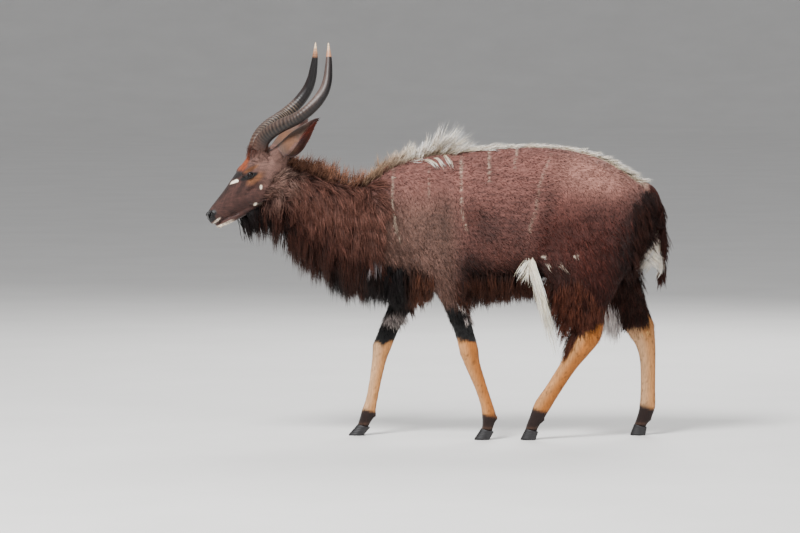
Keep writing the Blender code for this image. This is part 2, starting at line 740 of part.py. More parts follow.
class Coat:
    """Roots locks on a surface, each with a length, width and lie that vary a little."""

    def __init__(self, surface, group, seed):
        self.surface = surface
        self.group = group
        self.draw = random.Random(seed)
        self.count = 0

    def vary(self, value, share):
        return value * (1 + share * self.draw.uniform(-1, 1))

    def root(self, eye, aim):
        """Where a ray meets the surface, or None."""
        place, normal, _, _ = self.surface.ray_cast(eye, aim)
        return None if place is None else (place, normal)

    def grow(self, found, heading, length, width, lift, weight, broad=None):
        """One lock from a root, its broad side outward or the way that broad says."""
        if found is None:
            return
        place, normal = found
        tilt = Vector((self.draw.uniform(-0.15, 0.15), self.draw.uniform(-0.06, 0.06), 0))
        path, outward = hang(
            self.surface, place, normal, heading + tilt, self.vary(length, 0.14),
            lift, weight, LOCK_SPANS,
        )
        if broad is not None:
            outward = [broad] * len(path)
        self.count += 1
        lock(f"lock_{self.count}", path, self.vary(width, 0.12), LOCK_THICKNESS, outward, self.group)

    def places(self, line, count):
        """Places about evenly spaced along a line in x and z."""
        for k in range(count):
            yield along_line(line, (k + 0.5 + self.draw.uniform(-0.18, 0.18)) / count)

    def side_row(self, side, line, count, length, width, lean=0.0, lift=0.006, weight=0.6):
        """Locks that hang from a line on one side of the body."""
        for x, z in self.places(line, count):
            found = self.root(Vector((x, side * 0.6, z)), Vector((0, -side, 0)))
            self.grow(found, Vector((lean, side * 0.25, -1)), length, width, lift, weight)

    def under_row(self, across, line, count, length, width, lean=0.0):
        """Locks that hang from a line under the body."""
        for x, z in self.places(line, count):
            aim = Vector((0, -across * 0.4, 1)).normalized()
            found = self.root(Vector((x, across, z - 0.25)), aim)
            broad = Vector((0, 1 if across >= 0 else -1, 0))
            self.grow(found, Vector((lean, across * 2, -1)), length, width, 0.002, 0.8, broad)

    def crest_row(self, line, across, count, length, width, rise, weight, back=1.0):
        """Locks that stand up or lie back along the top line."""
        for x, z in self.places(line, count):
            found = self.root(Vector((x, across, z + 0.3)), DOWN)
            broad = Vector((0, 1, 0)) if rise > 0.6 else UP
            heading = Vector((back, across * 6, rise))
            self.grow(found, heading, length, width, 0.005, weight, broad)


def along_line(line, share):
    """A point at a share of the length of a line of points."""
    lengths = [math.dist(a, b) for a, b in zip(line, line[1:])]
    left = share * sum(lengths)
    for (a, b), length in zip(zip(line, line[1:]), lengths):
        if left <= length:
            t = left / length
            return tuple(p + (q - p) * t for p, q in zip(a, b))
        left -= length
    return tuple(line[-1])


def surface_of(found):
    made = bmesh.new()
    made.from_mesh(found.data)
    tree = BVHTree.FromBMesh(made)
    made.free()
    return tree


def neck_locks(coat):
    """The long hair down both sides of the neck and throat, and the upright hair of the nape."""
    for side in (LEFT, RIGHT):
        coat.side_row(side, NECK_HIGH, 4, 0.150, 0.064, lean=0.15, lift=0.003, weight=0.5)
        coat.side_row(side, NECK_MIDDLE, 5, 0.150, 0.066, lean=0.10, lift=0.004, weight=0.5)
        coat.side_row(side, NECK_LOW, 7, 0.130, 0.056)
    coat.under_row(0.0, THROAT, 7, 0.105, 0.060)
    for across in (-0.010, 0.010):
        coat.crest_row(NAPE, across, 6, 0.080, 0.040, rise=2.2, weight=0.0)


def torso_locks(coat):
    """The fringe of the chest and the belly, and the crest that runs down the back."""
    for across in (-0.012, 0.012):
        coat.crest_row(WITHERS, across, 6, 0.095, 0.052, rise=1.0, weight=0.0)
    coat.crest_row(BACK, 0.0, 8, 0.095, 0.050, rise=0.12, weight=0.05)
    coat.crest_row(RUMP, 0.0, 2, 0.085, 0.046, rise=-0.2, weight=0.3)
    for side in (LEFT, RIGHT):
        coat.side_row(side, BRISKET_SIDE, 2, 0.125, 0.060)
        coat.side_row(side, FLANK, 4, 0.095, 0.060)
    coat.under_row(0.0, BRISKET, 6, 0.095, 0.062)
    coat.under_row(0.0, BELLY, 5, 0.075, 0.062)


def foreleg_locks(coat, side, rows):
    """The tuft behind the elbow."""
    high, low = rows[3], rows[5]
    line = ((high[0] + high[3] * 0.7, high[2] - 0.03), (low[0] + low[3] * 0.7, low[2]))
    coat.side_row(side, line, 3, 0.080, 0.045, lean=0.35)


def haunch_locks(coat, side, rows):
    """The fringe down the front of a thigh and the long hair round the gaskin."""
    high, low = rows[2], rows[6]
    front = ((high[0] - high[3] * 0.86, high[2]), (low[0] - low[3] * 0.55, low[2] + 0.01))
    coat.side_row(side, front, 6, 0.100, 0.050, lean=-0.05, weight=0.5)
    back = ((low[0] - low[3] * 0.2, low[2] + 0.02), (low[0] + low[3] * 0.75, low[2] + 0.08))
    for face in (LEFT, RIGHT):
        coat.side_row(face, back, 2, 0.085, 0.050, lean=0.1)


def haunch_block(name, side, grow, group):
    """The block that holds a haunch and its leg, from the flank to the root of the tail."""
    (x0, z0), (x1, z1) = HAUNCH
    slope = Vector((z0 - z1, 0, x1 - x0)).normalized() * grow
    outline = [
        (x0 - grow, z0 + slope.z), (x1 + slope.x, z1 + slope.z), (1.2, z1 + grow),
        (1.2, -0.2), (0.27 - grow, -0.2), (0.27 - grow, 0.12), (x0 - grow, 0.40),
    ]
    low, high = (-0.5, 0.0) if side == LEFT else (0.0, 0.5)
    return prism(name, outline, low - grow, high + grow, group)


def foreleg_block(name, rows, side, grow, group):
    """The block under the elbow that holds the rest of a foreleg."""
    middle, foot = rows[5][0], rows[-1][0]
    low, high = min(middle, foot) - 0.11, max(middle, foot) + 0.11
    outline = [
        (low - grow, FORELEG_TOP + grow), (high + grow, FORELEG_TOP + grow),
        (high + grow, -0.2), (low - grow, -0.2),
    ]
    near, far = sorted((side * 0.038, side * 0.25))
    return prism(name, outline, near - grow, far + grow, group)


def tail_root_block(name, grow, group):
    """The block behind the rump that holds the root of the tail."""
    (x0, z0), (x1, z1) = TAIL_CUT
    outline = [(x0 - grow, z0 + 0.05), (x0 - grow, z0), (x1 - grow, z1), (1.0, z1), (1.0, z0 + 0.05)]
    return prism(name, outline, -0.06, 0.06, group)


def below_line(name, line, grow, group):
    """A block under a line in x and z."""
    (x0, z0), (x1, z1) = line
    outline = [(x0, z0 + grow), (x1, z1 + grow), (x1, -1.0), (x0, -1.0)]
    return prism(name, outline, -1.0, 1.0, group)


def foot_row(rows):
    """The leg's section just above its hoof."""
    return next(row for row in rows if row[2] < 0.06)


def hoof(name, leg_rows, sole_x, side, toe, group):
    """One toe: a wedge from its sloping coronet down to a flat sole on the floor."""
    above = foot_row(leg_rows)
    x, y = above[0], side * above[1] + toe * TOE_APART
    top = superellipse(0.0125, 0.024, 0.022, 1.8, 2.2, 14)
    sole = superellipse(0.0140, 0.0285, 0.0275, 1.5, 2.3, 14)
    rings = []
    for share, ring in ((0, sole), (0.14, sole), (1, top)):
        middle = sole_x + (x - sole_x) * share
        ring_at = []
        for across, ahead in ring:
            lift = (CORONET - GAP / 2 + CORONET_SLOPE * ahead) if share == 1 else 0.032 * share
            ring_at.append(Vector((middle - ahead, y + across, lift)))
        rings.append(ring_at)
    return loft(name, rings, group)


def tail_locks(coat, rows):
    """Long hair down the dock in tiers: white ahead of it and dark behind, and a tuft at its tip."""
    for tier, (x, z, _, _) in enumerate(rows[2:]):
        for across in (LEFT, RIGHT):
            for ahead, length in ((-0.50, 0.150), (0.25, 0.130)):
                start = Vector((x + ahead * 0.012, across * 0.2, z))
                found = coat.root(start, Vector((0, -across, 0)))
                heading = Vector((ahead * (0.9 - 0.1 * tier), across * 0.12, -1))
                coat.grow(found, heading, length, 0.048, 0.003, 0.10, Vector((0, across, 0)))


def flesh_of_body(work, tools):
    torso_body(work)
    neck_body(NECK, work)
    for name, (rows, side) in LEGS.items():
        leg_body(name, rows, side, work)
    joint_forms(work)
    for side in (LEFT, RIGHT):
        for x, y, z, *sizes in BODY_FORMS:
            ball(f"muscle_{side}", Vector((x, side * y, z)), sizes, 0, work)
    tail_core(TAIL[:3], work)
    return fused_flesh("flesh", list(work.objects), FLESH_VOXEL, 34, BODY_TRIANGLES, tools)


def tail_core(rows, group):
    path = [(Vector((x, 0, z)), d, w) for x, z, d, w in smooth_rows(rows, 3)]
    return loft("dock", tube_rings(path, 16), group)


def flesh_of_head(work, tools):
    neck_body(NECK[:3], work)
    skull_bodies(work)
    head_forms(work)
    return fused_flesh("face", list(work.objects), HEAD_VOXEL, 4, HEAD_TRIANGLES, tools)


def copy_of(source, name, group):
    made = bpy.data.objects.new(name, source.data.copy())
    group.objects.link(made)
    return made


def head_tools(side, tools):
    """What is cut out of one side of the head, and where the ear and the horn start."""
    s, y, h = EYE
    centre = head_place(s, side * y, h)
    socket = EYE_RADIUS + 0.0004
    made = [ball(f"socket_{side}", centre, (socket, socket, socket), 0, tools, 12)]
    lids = head_place(s - 0.001, side * (y + 0.019), h)
    made.append(ball(f"lids_{side}", lids, (0.0165, 0.017, 0.0108), -HEAD_SLOPE * 0.7, tools, 12))
    s, y, h = NOSTRIL
    made.append(ball(f"nostril_{side}", head_place(s, side * y, h), (0.009, 0.008, 0.0035),
                     -HEAD_SLOPE - 0.7, tools, 10))
    made.append(mouth_cutter(f"mouth_{side}", *sorted((side * 0.015, side * 0.06)), MOUTH, tools))
    return made


def mouth_cutter(name, low, high, line, group):
    """A thin strip through the line of the mouth, from one y to another."""
    upper = [head_place(s, 0, h + 0.0010) for s, h in line]
    lower = [head_place(s, 0, h - 0.0010) for s, h in reversed(line)]
    outline = [(p.x, p.z) for p in upper + lower]
    return prism(name, outline, low, high, group)


def above_plane(name, place, out, grow, group):
    """A wide flat block beyond a plane through a place."""
    start = place + out * grow
    return stub(name, start, start + out * 0.12, 0.07, group, 12)


def build_head(face, face_skin, behind_head, parts, work, tools):
    head = copy_of(face, "head", parts)
    coat = Coat(face_skin, work, 11)
    coat.under_row(0.0, BEARD, 3, 0.095, 0.044, lean=0.25)
    for side in (LEFT, RIGHT):
        coat.under_row(side * 0.02, BEARD_SIDE, 3, 0.085, 0.040, lean=0.25)
    fuse(head, work)
    for side in (LEFT, RIGHT):
        for cutter in head_tools(side, tools):
            carve(head, cutter)
        low, high = (sided(HORN[k][:3], side) for k in (0, 1))
        out = (high - low).normalized()
        carve(head, above_plane(f"horn_plane_{side}", high, out, -GAP / 2, tools))
        root, axis = ear_seat(side)
        carve(head, above_plane(f"ear_plane_{side}", root + axis * EAR_BASE, axis, -GAP / 2, tools))
        eye = ball("eye_left" if side == LEFT else "eye_right",
                   head_place(EYE[0], side * EYE[1], EYE[2]), (EYE_RADIUS,) * 3, 0, parts, 12)
        eye.data.shade_smooth()
    front = MOUTH[:2]
    carve(head, mouth_cutter("mouth_front", -0.02, 0.02, front, tools))
    carve(head, behind_head)
    keep_largest(head)


def build_legs(flesh, skin, parts, work, tools):
    for name, (rows, side) in LEGS.items():
        kind, hand = name.split("_")
        upper = copy_of(flesh, f"{kind}leg_{hand}_upper", parts)
        coat = Coat(skin, work, 17)
        if kind == "hind":
            haunch_locks(coat, side, rows)
            block = haunch_block(name + "_block", side, -GAP / 2, tools)
            guard = copy_of(flesh, name + "_guard", tools)
            carve(guard, block, "INTERSECT")
            swell(guard, TAIL_CLEARANCE)
        else:
            foreleg_locks(coat, side, rows)
            block = foreleg_block(name + "_block", rows, side, -GAP / 2, tools)
        fuse(upper, work)
        carve(upper, block, "INTERSECT")
        lower = copy_of(flesh, f"{kind}leg_{hand}_lower", parts)
        split = SHANK_TOP[name]
        reach = ((-2.0, split), (2.0, split))
        carve(upper, below_line(name + "_split_up", reach, GAP / 2, tools))
        keep_largest(upper)
        carve(lower, block, "INTERSECT")
        carve(lower, below_line(name + "_split_low", reach, -GAP / 2, tools), "INTERSECT")
        x = foot_row(rows)[0]
        coronet = ((x - 1, CORONET + CORONET_SLOPE), (x + 1, CORONET - CORONET_SLOPE))
        carve(lower, below_line(name + "_coronet", coronet, GAP / 2, tools))
        keep_largest(lower)
        for toe in (LEFT, RIGHT):
            across = "outer" if toe == side else "inner"
            hoof(f"hoof_{name}_{across}", rows, SOLES[name], side, toe, parts)


def build_tail(parts, work, tools, plane):
    tail = tail_core(TAIL, parts)
    tail.name = "tail"
    coat = Coat(surface_of(tail), work, 31)
    tail_locks(coat, TAIL)
    fuse(tail, work)
    carve(tail, plane)
    for hand in ("left", "right"):
        carve(tail, tools.objects[f"hind_{hand}_guard"])
    keep_largest(tail)


def paint(parts):
    hard = ("horn", "hoof", "eye")
    made = {name: material(name, 0.45 if name in hard else 0.85) for name in COLOURS}
    for found in parts.objects:
        slot = next((name for name in (*hard, "ear") if found.name.startswith(name)), "coat")
        slot = "mane" if found.name in ("neck", "tail") else slot
        slot = "tan" if found.name.endswith("lower") else slot
        found.data.materials.clear()
        found.data.materials.append(made[slot])


def main():
    clear_scene()
    parts = collection("nyala")
    tools = collection("cutters")
    work = collection("work")
    flesh = flesh_of_body(work, tools)
    face = flesh_of_head(work, tools)
    skin, face_skin = surface_of(flesh), surface_of(face)

    behind_head = beside_line("behind_head", HEAD_CUT, GAP / 2, False, tools)
    ahead_of_head = beside_line("ahead_of_head", HEAD_CUT, GAP / 2, True, tools)
    behind_neck = beside_line("behind_neck", NECK_CUT, GAP / 2, False, tools)
    ahead_of_neck = beside_line("ahead_of_neck", NECK_CUT, GAP / 2, True, tools)
    ahead_of_tail = beside_line("ahead_of_tail", TAIL_CUT, GAP / 2, True, tools)
    tail_root = tail_root_block("tail_root", GAP / 2, tools)

    build_head(face, face_skin, behind_head, parts, work, tools)
    for side, hand in ((LEFT, "left"), (RIGHT, "right")):
        horn(f"horn_{hand}", side, 10, 3, parts)
        ear(f"ear_{hand}", side, parts)

    neck = copy_of(flesh, "neck", parts)
    neck_locks(Coat(skin, work, 5))
    fuse(neck, work)
    carve(neck, ahead_of_head)
    carve(neck, behind_neck)
    keep_largest(neck)

    torso = copy_of(flesh, "torso", parts)
    torso_locks(Coat(skin, work, 7))
    fuse(torso, work)
    carve(torso, ahead_of_neck)
    carve(torso, tail_root)
    for name, (rows, side) in LEGS.items():
        if name.startswith("hind"):
            carve(torso, haunch_block(name + "_gap", side, GAP / 2, tools))
        else:
            carve(torso, foreleg_block(name + "_gap", rows, side, GAP / 2, tools))
    keep_largest(torso)

    build_legs(flesh, skin, parts, work, tools)
    build_tail(parts, work, tools, ahead_of_tail)
    paint(parts)
    for found in tools.objects:
        found.hide_render = True
        found.display_type = "WIRE"
    turn_all(parts.objects)


main()
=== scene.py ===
import math
from functools import cached_property, partial

import bmesh
import bpy
import numpy as np
from mathutils import Matrix, Vector
from mathutils.bvhtree import BVHTree


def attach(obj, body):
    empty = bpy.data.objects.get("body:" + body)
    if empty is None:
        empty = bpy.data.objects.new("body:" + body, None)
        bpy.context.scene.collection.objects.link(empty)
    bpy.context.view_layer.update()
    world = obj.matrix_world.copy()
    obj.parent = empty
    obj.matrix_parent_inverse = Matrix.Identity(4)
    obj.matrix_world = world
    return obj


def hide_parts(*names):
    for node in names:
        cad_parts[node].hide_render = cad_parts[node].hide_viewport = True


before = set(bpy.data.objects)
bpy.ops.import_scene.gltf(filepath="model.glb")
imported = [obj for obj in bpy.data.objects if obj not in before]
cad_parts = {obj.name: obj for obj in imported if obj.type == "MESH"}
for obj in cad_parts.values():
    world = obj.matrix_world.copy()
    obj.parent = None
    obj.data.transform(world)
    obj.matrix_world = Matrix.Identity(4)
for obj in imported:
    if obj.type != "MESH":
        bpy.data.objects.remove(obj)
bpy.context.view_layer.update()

BODY_VOXEL = 0.0080
HEAD_VOXEL = 0.0028
EYE_RADIUS = 0.0165
CORONET = 0.036
CORONET_SLOPE = 0.25
TOE_APART = 0.0148
HEAD_TURN = math.radians(12)
TURN_START = -0.33
TURN_LENGTH = 0.20
# How far the turning neck swings to the right
NECK_SWING = 0.008
STIFF_ABOVE = 1.12  # the ears and horns above this height turn with the skull
LEFT, RIGHT = -1, 1
HAND = {LEFT: "left", RIGHT: "right"}
DOWN = np.array((0.0, 0.0, -1.0))
MOST_TRIANGLES = 190_000  # of one piece of the coat
PATCH = 0.0028  # the size of each hair on the bake's map
rng = np.random.default_rng(12)

# Torso sections: x, height of the back, height of the belly, half width
TORSO = (
    (-0.335, 0.895, 0.675, 0.066),
    (-0.274, 0.972, 0.611, 0.100),
    (-0.218, 1.014, 0.581, 0.118),
    (-0.142, 1.050, 0.563, 0.130),
    (-0.068, 1.069, 0.555, 0.138),
    (0.008, 1.081, 0.555, 0.144),
    (0.120, 1.093, 0.563, 0.152),
    (0.233, 1.102, 0.574, 0.156),
    (0.345, 1.106, 0.589, 0.154),
    (0.458, 1.100, 0.608, 0.146),
    (0.570, 1.077, 0.638, 0.136),
    (0.664, 1.036, 0.660, 0.120),
    (0.735, 0.988, 0.700, 0.092),
    (0.776, 0.950, 0.760, 0.062),
    (0.796, 0.915, 0.830, 0.030),
)
TORSO_WIDEST = 0.46
# Neck sections along its axis: x, z, rise and drop from the axis, half width
NECK = (
    (-0.6225, 0.960, 0.100, 0.085, 0.058),
    (-0.5625, 0.915, 0.126, 0.100, 0.068),
    (-0.480, 0.870, 0.134, 0.132, 0.078),
    (-0.386, 0.821, 0.152, 0.150, 0.092),
    (-0.285, 0.784, 0.195, 0.172, 0.110),
    (-0.172, 0.773, 0.220, 0.170, 0.122),
)
# Legs: x, distance from the middle, z, half depth, half width
FORE_LEFT = (
    (-0.086, 0.060, 0.965, 0.070, 0.036),
    (-0.068, 0.085, 0.850, 0.120, 0.050),
    (-0.023, 0.098, 0.743, 0.134, 0.055),
    (0.019, 0.102, 0.660, 0.105, 0.051),
    (0.045, 0.104, 0.585, 0.079, 0.046),
    (0.060, 0.098, 0.525, 0.057, 0.038),
    (0.079, 0.093, 0.461, 0.045, 0.032),
    (0.099, 0.090, 0.398, 0.040, 0.030),
    (0.116, 0.087, 0.332, 0.039, 0.031),
    (0.129, 0.086, 0.281, 0.032, 0.025),
    (0.159, 0.085, 0.199, 0.0265, 0.021),
    (0.182, 0.085, 0.128, 0.0265, 0.0215),
    (0.190, 0.085, 0.086, 0.030, 0.026),
    (0.186, 0.085, 0.052, 0.0245, 0.025),
    (0.178, 0.085, 0.020, 0.024, 0.026),
)
FORE_RIGHT = (
    (-0.124, 0.060, 0.965, 0.070, 0.036),
    (-0.120, 0.085, 0.850, 0.118, 0.050),
    (-0.098, 0.098, 0.743, 0.125, 0.055),
    (-0.083, 0.102, 0.660, 0.101, 0.051),
    (-0.101, 0.104, 0.585, 0.075, 0.046),
    (-0.128, 0.098, 0.525, 0.056, 0.038),
    (-0.158, 0.093, 0.461, 0.045, 0.032),
    (-0.186, 0.090, 0.398, 0.040, 0.030),
    (-0.210, 0.087, 0.336, 0.038, 0.031),
    (-0.221, 0.086, 0.287, 0.031, 0.025),
    (-0.236, 0.085, 0.204, 0.026, 0.021),
    (-0.251, 0.085, 0.128, 0.026, 0.0215),
    (-0.263, 0.085, 0.084, 0.0295, 0.026),
    (-0.277, 0.085, 0.050, 0.0245, 0.025),
    (-0.289, 0.085, 0.018, 0.024, 0.026),
)
HIND_LEFT = (
    (0.600, 0.045, 0.950, 0.100, 0.045),
    (0.590, 0.064, 0.820, 0.160, 0.068),
    (0.553, 0.076, 0.705, 0.182, 0.076),
    (0.545, 0.086, 0.623, 0.158, 0.069),
    (0.550, 0.098, 0.544, 0.118, 0.057),
    (0.555, 0.098, 0.484, 0.082, 0.045),
    (0.561, 0.096, 0.435, 0.062, 0.037),
    (0.556, 0.095, 0.388, 0.054, 0.034),
    (0.528, 0.094, 0.338, 0.042, 0.0285),
    (0.486, 0.092, 0.277, 0.0345, 0.024),
    (0.430, 0.091, 0.190, 0.0325, 0.0225),
    (0.389, 0.090, 0.126, 0.0345, 0.0265),
    (0.367, 0.090, 0.082, 0.0285, 0.0255),
    (0.352, 0.090, 0.050, 0.0255, 0.0255),
    (0.342, 0.090, 0.018, 0.025, 0.0265),
)
HIND_RIGHT = (
    (0.605, 0.045, 0.950, 0.100, 0.045),
    (0.613, 0.064, 0.820, 0.148, 0.068),
    (0.612, 0.076, 0.705, 0.160, 0.076),
    (0.634, 0.086, 0.623, 0.138, 0.069),
    (0.676, 0.098, 0.548, 0.106, 0.057),
    (0.714, 0.098, 0.491, 0.077, 0.045),
    (0.746, 0.096, 0.443, 0.062, 0.037),
    (0.769, 0.095, 0.396, 0.055, 0.034),
    (0.785, 0.094, 0.346, 0.042, 0.0285),
    (0.793, 0.092, 0.283, 0.0335, 0.024),
    (0.794, 0.091, 0.180, 0.0315, 0.0225),
    (0.792, 0.090, 0.108, 0.0335, 0.0265),
    (0.779, 0.090, 0.070, 0.0280, 0.0255),
    (0.768, 0.090, 0.045, 0.0255, 0.0255),
    (0.757, 0.090, 0.015, 0.025, 0.0265),
)
LEGS = {
    "fore_left": (FORE_LEFT, LEFT),
    "fore_right": (FORE_RIGHT, RIGHT),
    "hind_left": (HIND_LEFT, LEFT),
    "hind_right": (HIND_RIGHT, RIGHT),
}
SOLES = {"fore_left": 0.163, "fore_right": -0.309, "hind_left": 0.336, "hind_right": 0.756}
# The dock of the tail: x, z, half depth, half width
TAIL = (
    (0.755, 0.955, 0.024, 0.022),
    (0.796, 0.942, 0.022, 0.022),
    (0.824, 0.908, 0.019, 0.021),
    (0.838, 0.848, 0.016, 0.019),
    (0.842, 0.773, 0.013, 0.016),
    (0.838, 0.698, 0.009, 0.012),
    (0.832, 0.640, 0.004, 0.006),
)
# The head has its own axes: s runs from the muzzle to the poll, y to its right, h to its brow
HEAD_ORIGIN = np.array((-0.855, 0.0, 0.8325))
HEAD_SLOPE = math.radians(39.4)
HEAD_AXIS = np.array((math.cos(HEAD_SLOPE), 0, math.sin(HEAD_SLOPE)))
HEAD_UP = np.array((-math.sin(HEAD_SLOPE), 0, math.cos(HEAD_SLOPE)))
# Skull sections: s, brow line, lower line, half width, height of the widest part
SKULL = (
    (-0.018, 0.003, -0.018, 0.013, -0.008),
    (-0.011, 0.013, -0.025, 0.022, -0.006),
    (0.004, 0.024, -0.030, 0.029, -0.003),
    (0.0225, 0.030, -0.035, 0.0305, -0.004),
    (0.050, 0.036, -0.044, 0.031, -0.010),
    (0.0825, 0.043, -0.056, 0.035, -0.014),
    (0.115, 0.051, -0.074, 0.042, -0.014),
    (0.150, 0.061, -0.086, 0.050, -0.008),
    (0.180, 0.069, -0.089, 0.058, 0.002),
    (0.210, 0.077, -0.086, 0.064, 0.012),
    (0.240, 0.084, -0.078, 0.065, 0.014),
    (0.270, 0.089, -0.066, 0.062, 0.014),
    (0.3075, 0.075, -0.053, 0.056, 0.010),
    (0.345, 0.046, -0.040, 0.046, 0.004),
    (0.370, 0.020, -0.022, 0.030, 0.000),
)
# Lower jaw sections: s, upper line, lower line, half width
JAW = (
    (-0.007, -0.028, -0.040, 0.010),
    (0.001, -0.028, -0.050, 0.018),
    (0.0225, -0.034, -0.060, 0.0235),
    (0.050, -0.040, -0.068, 0.025),
    (0.0825, -0.046, -0.075, 0.028),
    (0.120, -0.050, -0.083, 0.032),
    (0.160, -0.050, -0.088, 0.036),
)
MOUTH = ((-0.020, -0.0255), (0.000, -0.029), (0.022, -0.035), (0.052, -0.043), (0.084, -0.053))
# Muscles and ridges of each side of the head: s, y, h and their half sizes
HEAD_FORMS = (
    (0.214, 0.050, 0.056, 0.034, 0.016, 0.016),
    (0.190, 0.040, -0.036, 0.055, 0.022, 0.040),
    (0.200, 0.054, 0.004, 0.042, 0.013, 0.014),
    (0.003, 0.019, 0.011, 0.016, 0.011, 0.012),
    (0.012, 0.019, -0.020, 0.024, 0.012, 0.012),
    (0.012, 0.007, -0.044, 0.020, 0.014, 0.013),
    (0.286, 0.033, 0.072, 0.032, 0.027, 0.028),
    (0.335, 0.044, 0.024, 0.034, 0.022, 0.028),
)
# Muscles and bones of the body: x, y, z and their half sizes
BODY_FORMS = (
    (-0.200, 0.060, 0.730, 0.080, 0.055, 0.100),
    (-0.035, 0.075, 0.890, 0.085, 0.052, 0.130),
    (0.020, 0.104, 0.745, 0.100, 0.038, 0.095),
    (0.560, 0.058, 0.985, 0.100, 0.042, 0.060),
    (0.640, 0.070, 0.850, 0.110, 0.058, 0.120),
)
EYE = (0.206, 0.0505, 0.0345)
NOSTRIL = (-0.004, 0.0225, 0.0095)
EAR_ROOT = (0.338, 0.047, 0.034)
EAR_AXIS = np.array((0.150, 0.066, 0.129)) / np.linalg.norm((0.150, 0.066, 0.129))
EAR_OPENING = np.array((0.59, 0.40, -0.70)) / np.linalg.norm((0.59, 0.40, -0.70))
EAR_LENGTH = 0.208
EAR_HALF_WIDTH = 0.050
EAR_BASE = 0.030
# The middle of the left horn: x, distance from the middle, z, radius
HORN = (
    (-0.684, 0.0340, 1.060, 0.0275),
    (-0.681, 0.0350, 1.084, 0.0275),
    (-0.669, 0.0470, 1.118, 0.0270),
    (-0.647, 0.0720, 1.146, 0.0262),
    (-0.614, 0.1080, 1.171, 0.0254),
    (-0.574, 0.1430, 1.193, 0.0244),
    (-0.543, 0.1620, 1.212, 0.0236),
    (-0.508, 0.1710, 1.240, 0.0224),
    (-0.480, 0.1710, 1.269, 0.0210),
    (-0.457, 0.1650, 1.303, 0.0190),
    (-0.443, 0.1550, 1.343, 0.0166),
    (-0.437, 0.1440, 1.388, 0.0138),
    (-0.434, 0.1340, 1.433, 0.0098),
    (-0.434, 0.1260, 1.481, 0.0015),
)
HORN_RIDGES = 26
HORN_TWIST = math.radians(300)
# Lines in x and z between the body's regions
HEAD_LINE = ((-0.544, 1.061), (-0.6225, 0.799))
MANE_LINE = ((-0.556, 1.054), (-0.690, 0.835))
NECK_LINE = ((-0.262, 1.030), (-0.292, 0.470))
HAUNCH_LINE = ((0.362, 0.655), (0.803, 0.908))


def linear(code, gain=1.0):
    """A colour of six hexadecimal digits as linear red, green and blue."""
    parts = np.array([int(code[k:k + 2], 16) / 255 for k in (0, 2, 4)])
    return np.where(parts > 0.04045, ((parts + 0.055) / 1.055) ** 2.4, parts / 12.92) * gain


BACK = linear("6f4841")
FLANK = linear("50322d")
SHOULDER = linear("5b4239")
RUMP = linear("896056")
BELLY = linear("2a130e")
RUST = linear("50291f")
THIGH = linear("3b1811")
NECK_SIDE = linear("3e241d")
THROAT = linear("2c130e")
BLACK = linear("080405")
CREAM = linear("e3d0b8")
WHITE = linear("f8e8d2")
GREY_HAIR = linear("a09490")
TAN = linear("b06f2c")
PALE_TAN = linear("c59d76")
DARK_FOOT = linear("1d0e0a")
FACE = linear("3f2722")
CHEEK = linear("674c44")
EYE_RING = linear("6a4226")
FOREHEAD = linear("80380f")
EAR_BACK = linear("5c483e")
EAR_TAN = linear("74492b")
EAR_INSIDE = linear("5a2418")
EAR_LOW = linear("4b3839")
NOSE = linear("0c090a")
SNOW = linear("fff0dc", 1.35)

# Where the coat of the neck parts and whorls, in x and z
WHORL = (-0.311, 0.949)
PARTING = ((-0.545, 0.985), (-0.470, 0.972), (-0.390, 0.957), (-0.311, 0.949))
# Pale stripes: how strong each is, and its line in x and z
STRIPES = (
    (0.46, (-0.168, 1.030), (-0.174, 0.905), (-0.161, 0.792), (-0.136, 0.736)),
    (0.20, (-0.037, 1.030), (-0.037, 0.900)),
    (0.50, (0.089, 1.086), (0.082, 0.967), (0.089, 0.843), (0.110, 0.767)),
    (0.46, (0.192, 1.092), (0.189, 1.005), (0.185, 0.955)),
    (0.34, (0.295, 1.105), (0.282, 1.005)),
    (0.24, (0.426, 1.080), (0.395, 1.005), (0.370, 0.942), (0.364, 0.867), (0.342, 0.805), (0.330, 0.730)),
)
# Painted light and shade of the body's forms: x, z, their half sizes and the change
SHADES = (
    (0.176, 0.800, 0.060, 0.060, -0.32),
    (0.255, 0.905, 0.050, 0.040, -0.18),
    (0.300, 0.770, 0.028, 0.090, -0.30),
    (0.120, 0.650, 0.055, 0.050, -0.45),
    (0.030, 0.880, 0.025, 0.120, -0.16),
    (-0.060, 0.940, 0.060, 0.070, 0.14),
    (0.090, 0.950, 0.050, 0.060, 0.10),
    (0.600, 0.990, 0.110, 0.060, 0.12),
    (0.415, 0.900, 0.030, 0.070, -0.20),
    (-0.215, 0.880, 0.030, 0.120, -0.22),
    (0.480, 0.820, 0.050, 0.070, 0.12),
)
FOLD = ((0.330, 0.660), (0.330, 0.730), (0.342, 0.805), (0.364, 0.867), (0.370, 0.942), (0.395, 1.005))
THIGH_SPOTS = ((0.392, 0.686), (0.409, 0.654), (0.4575, 0.653), (0.511, 0.689))


def unit(rows):
    return rows / np.maximum(np.linalg.norm(rows, axis=-1, keepdims=True), 1e-9)


def ramp(value, low, high):
    """A smooth step from 0 at low to 1 at high."""
    t = np.clip((value - low) / (high - low), 0, 1)
    return t * t * (3 - 2 * t)


def fade(value, low, high):
    """A smooth step from 1 at low to 0 at high."""
    return 1 - ramp(value, low, high)


def between(value, low, high, soft):
    return ramp(value, low - soft, low + soft) * fade(value, high - soft, high + soft)


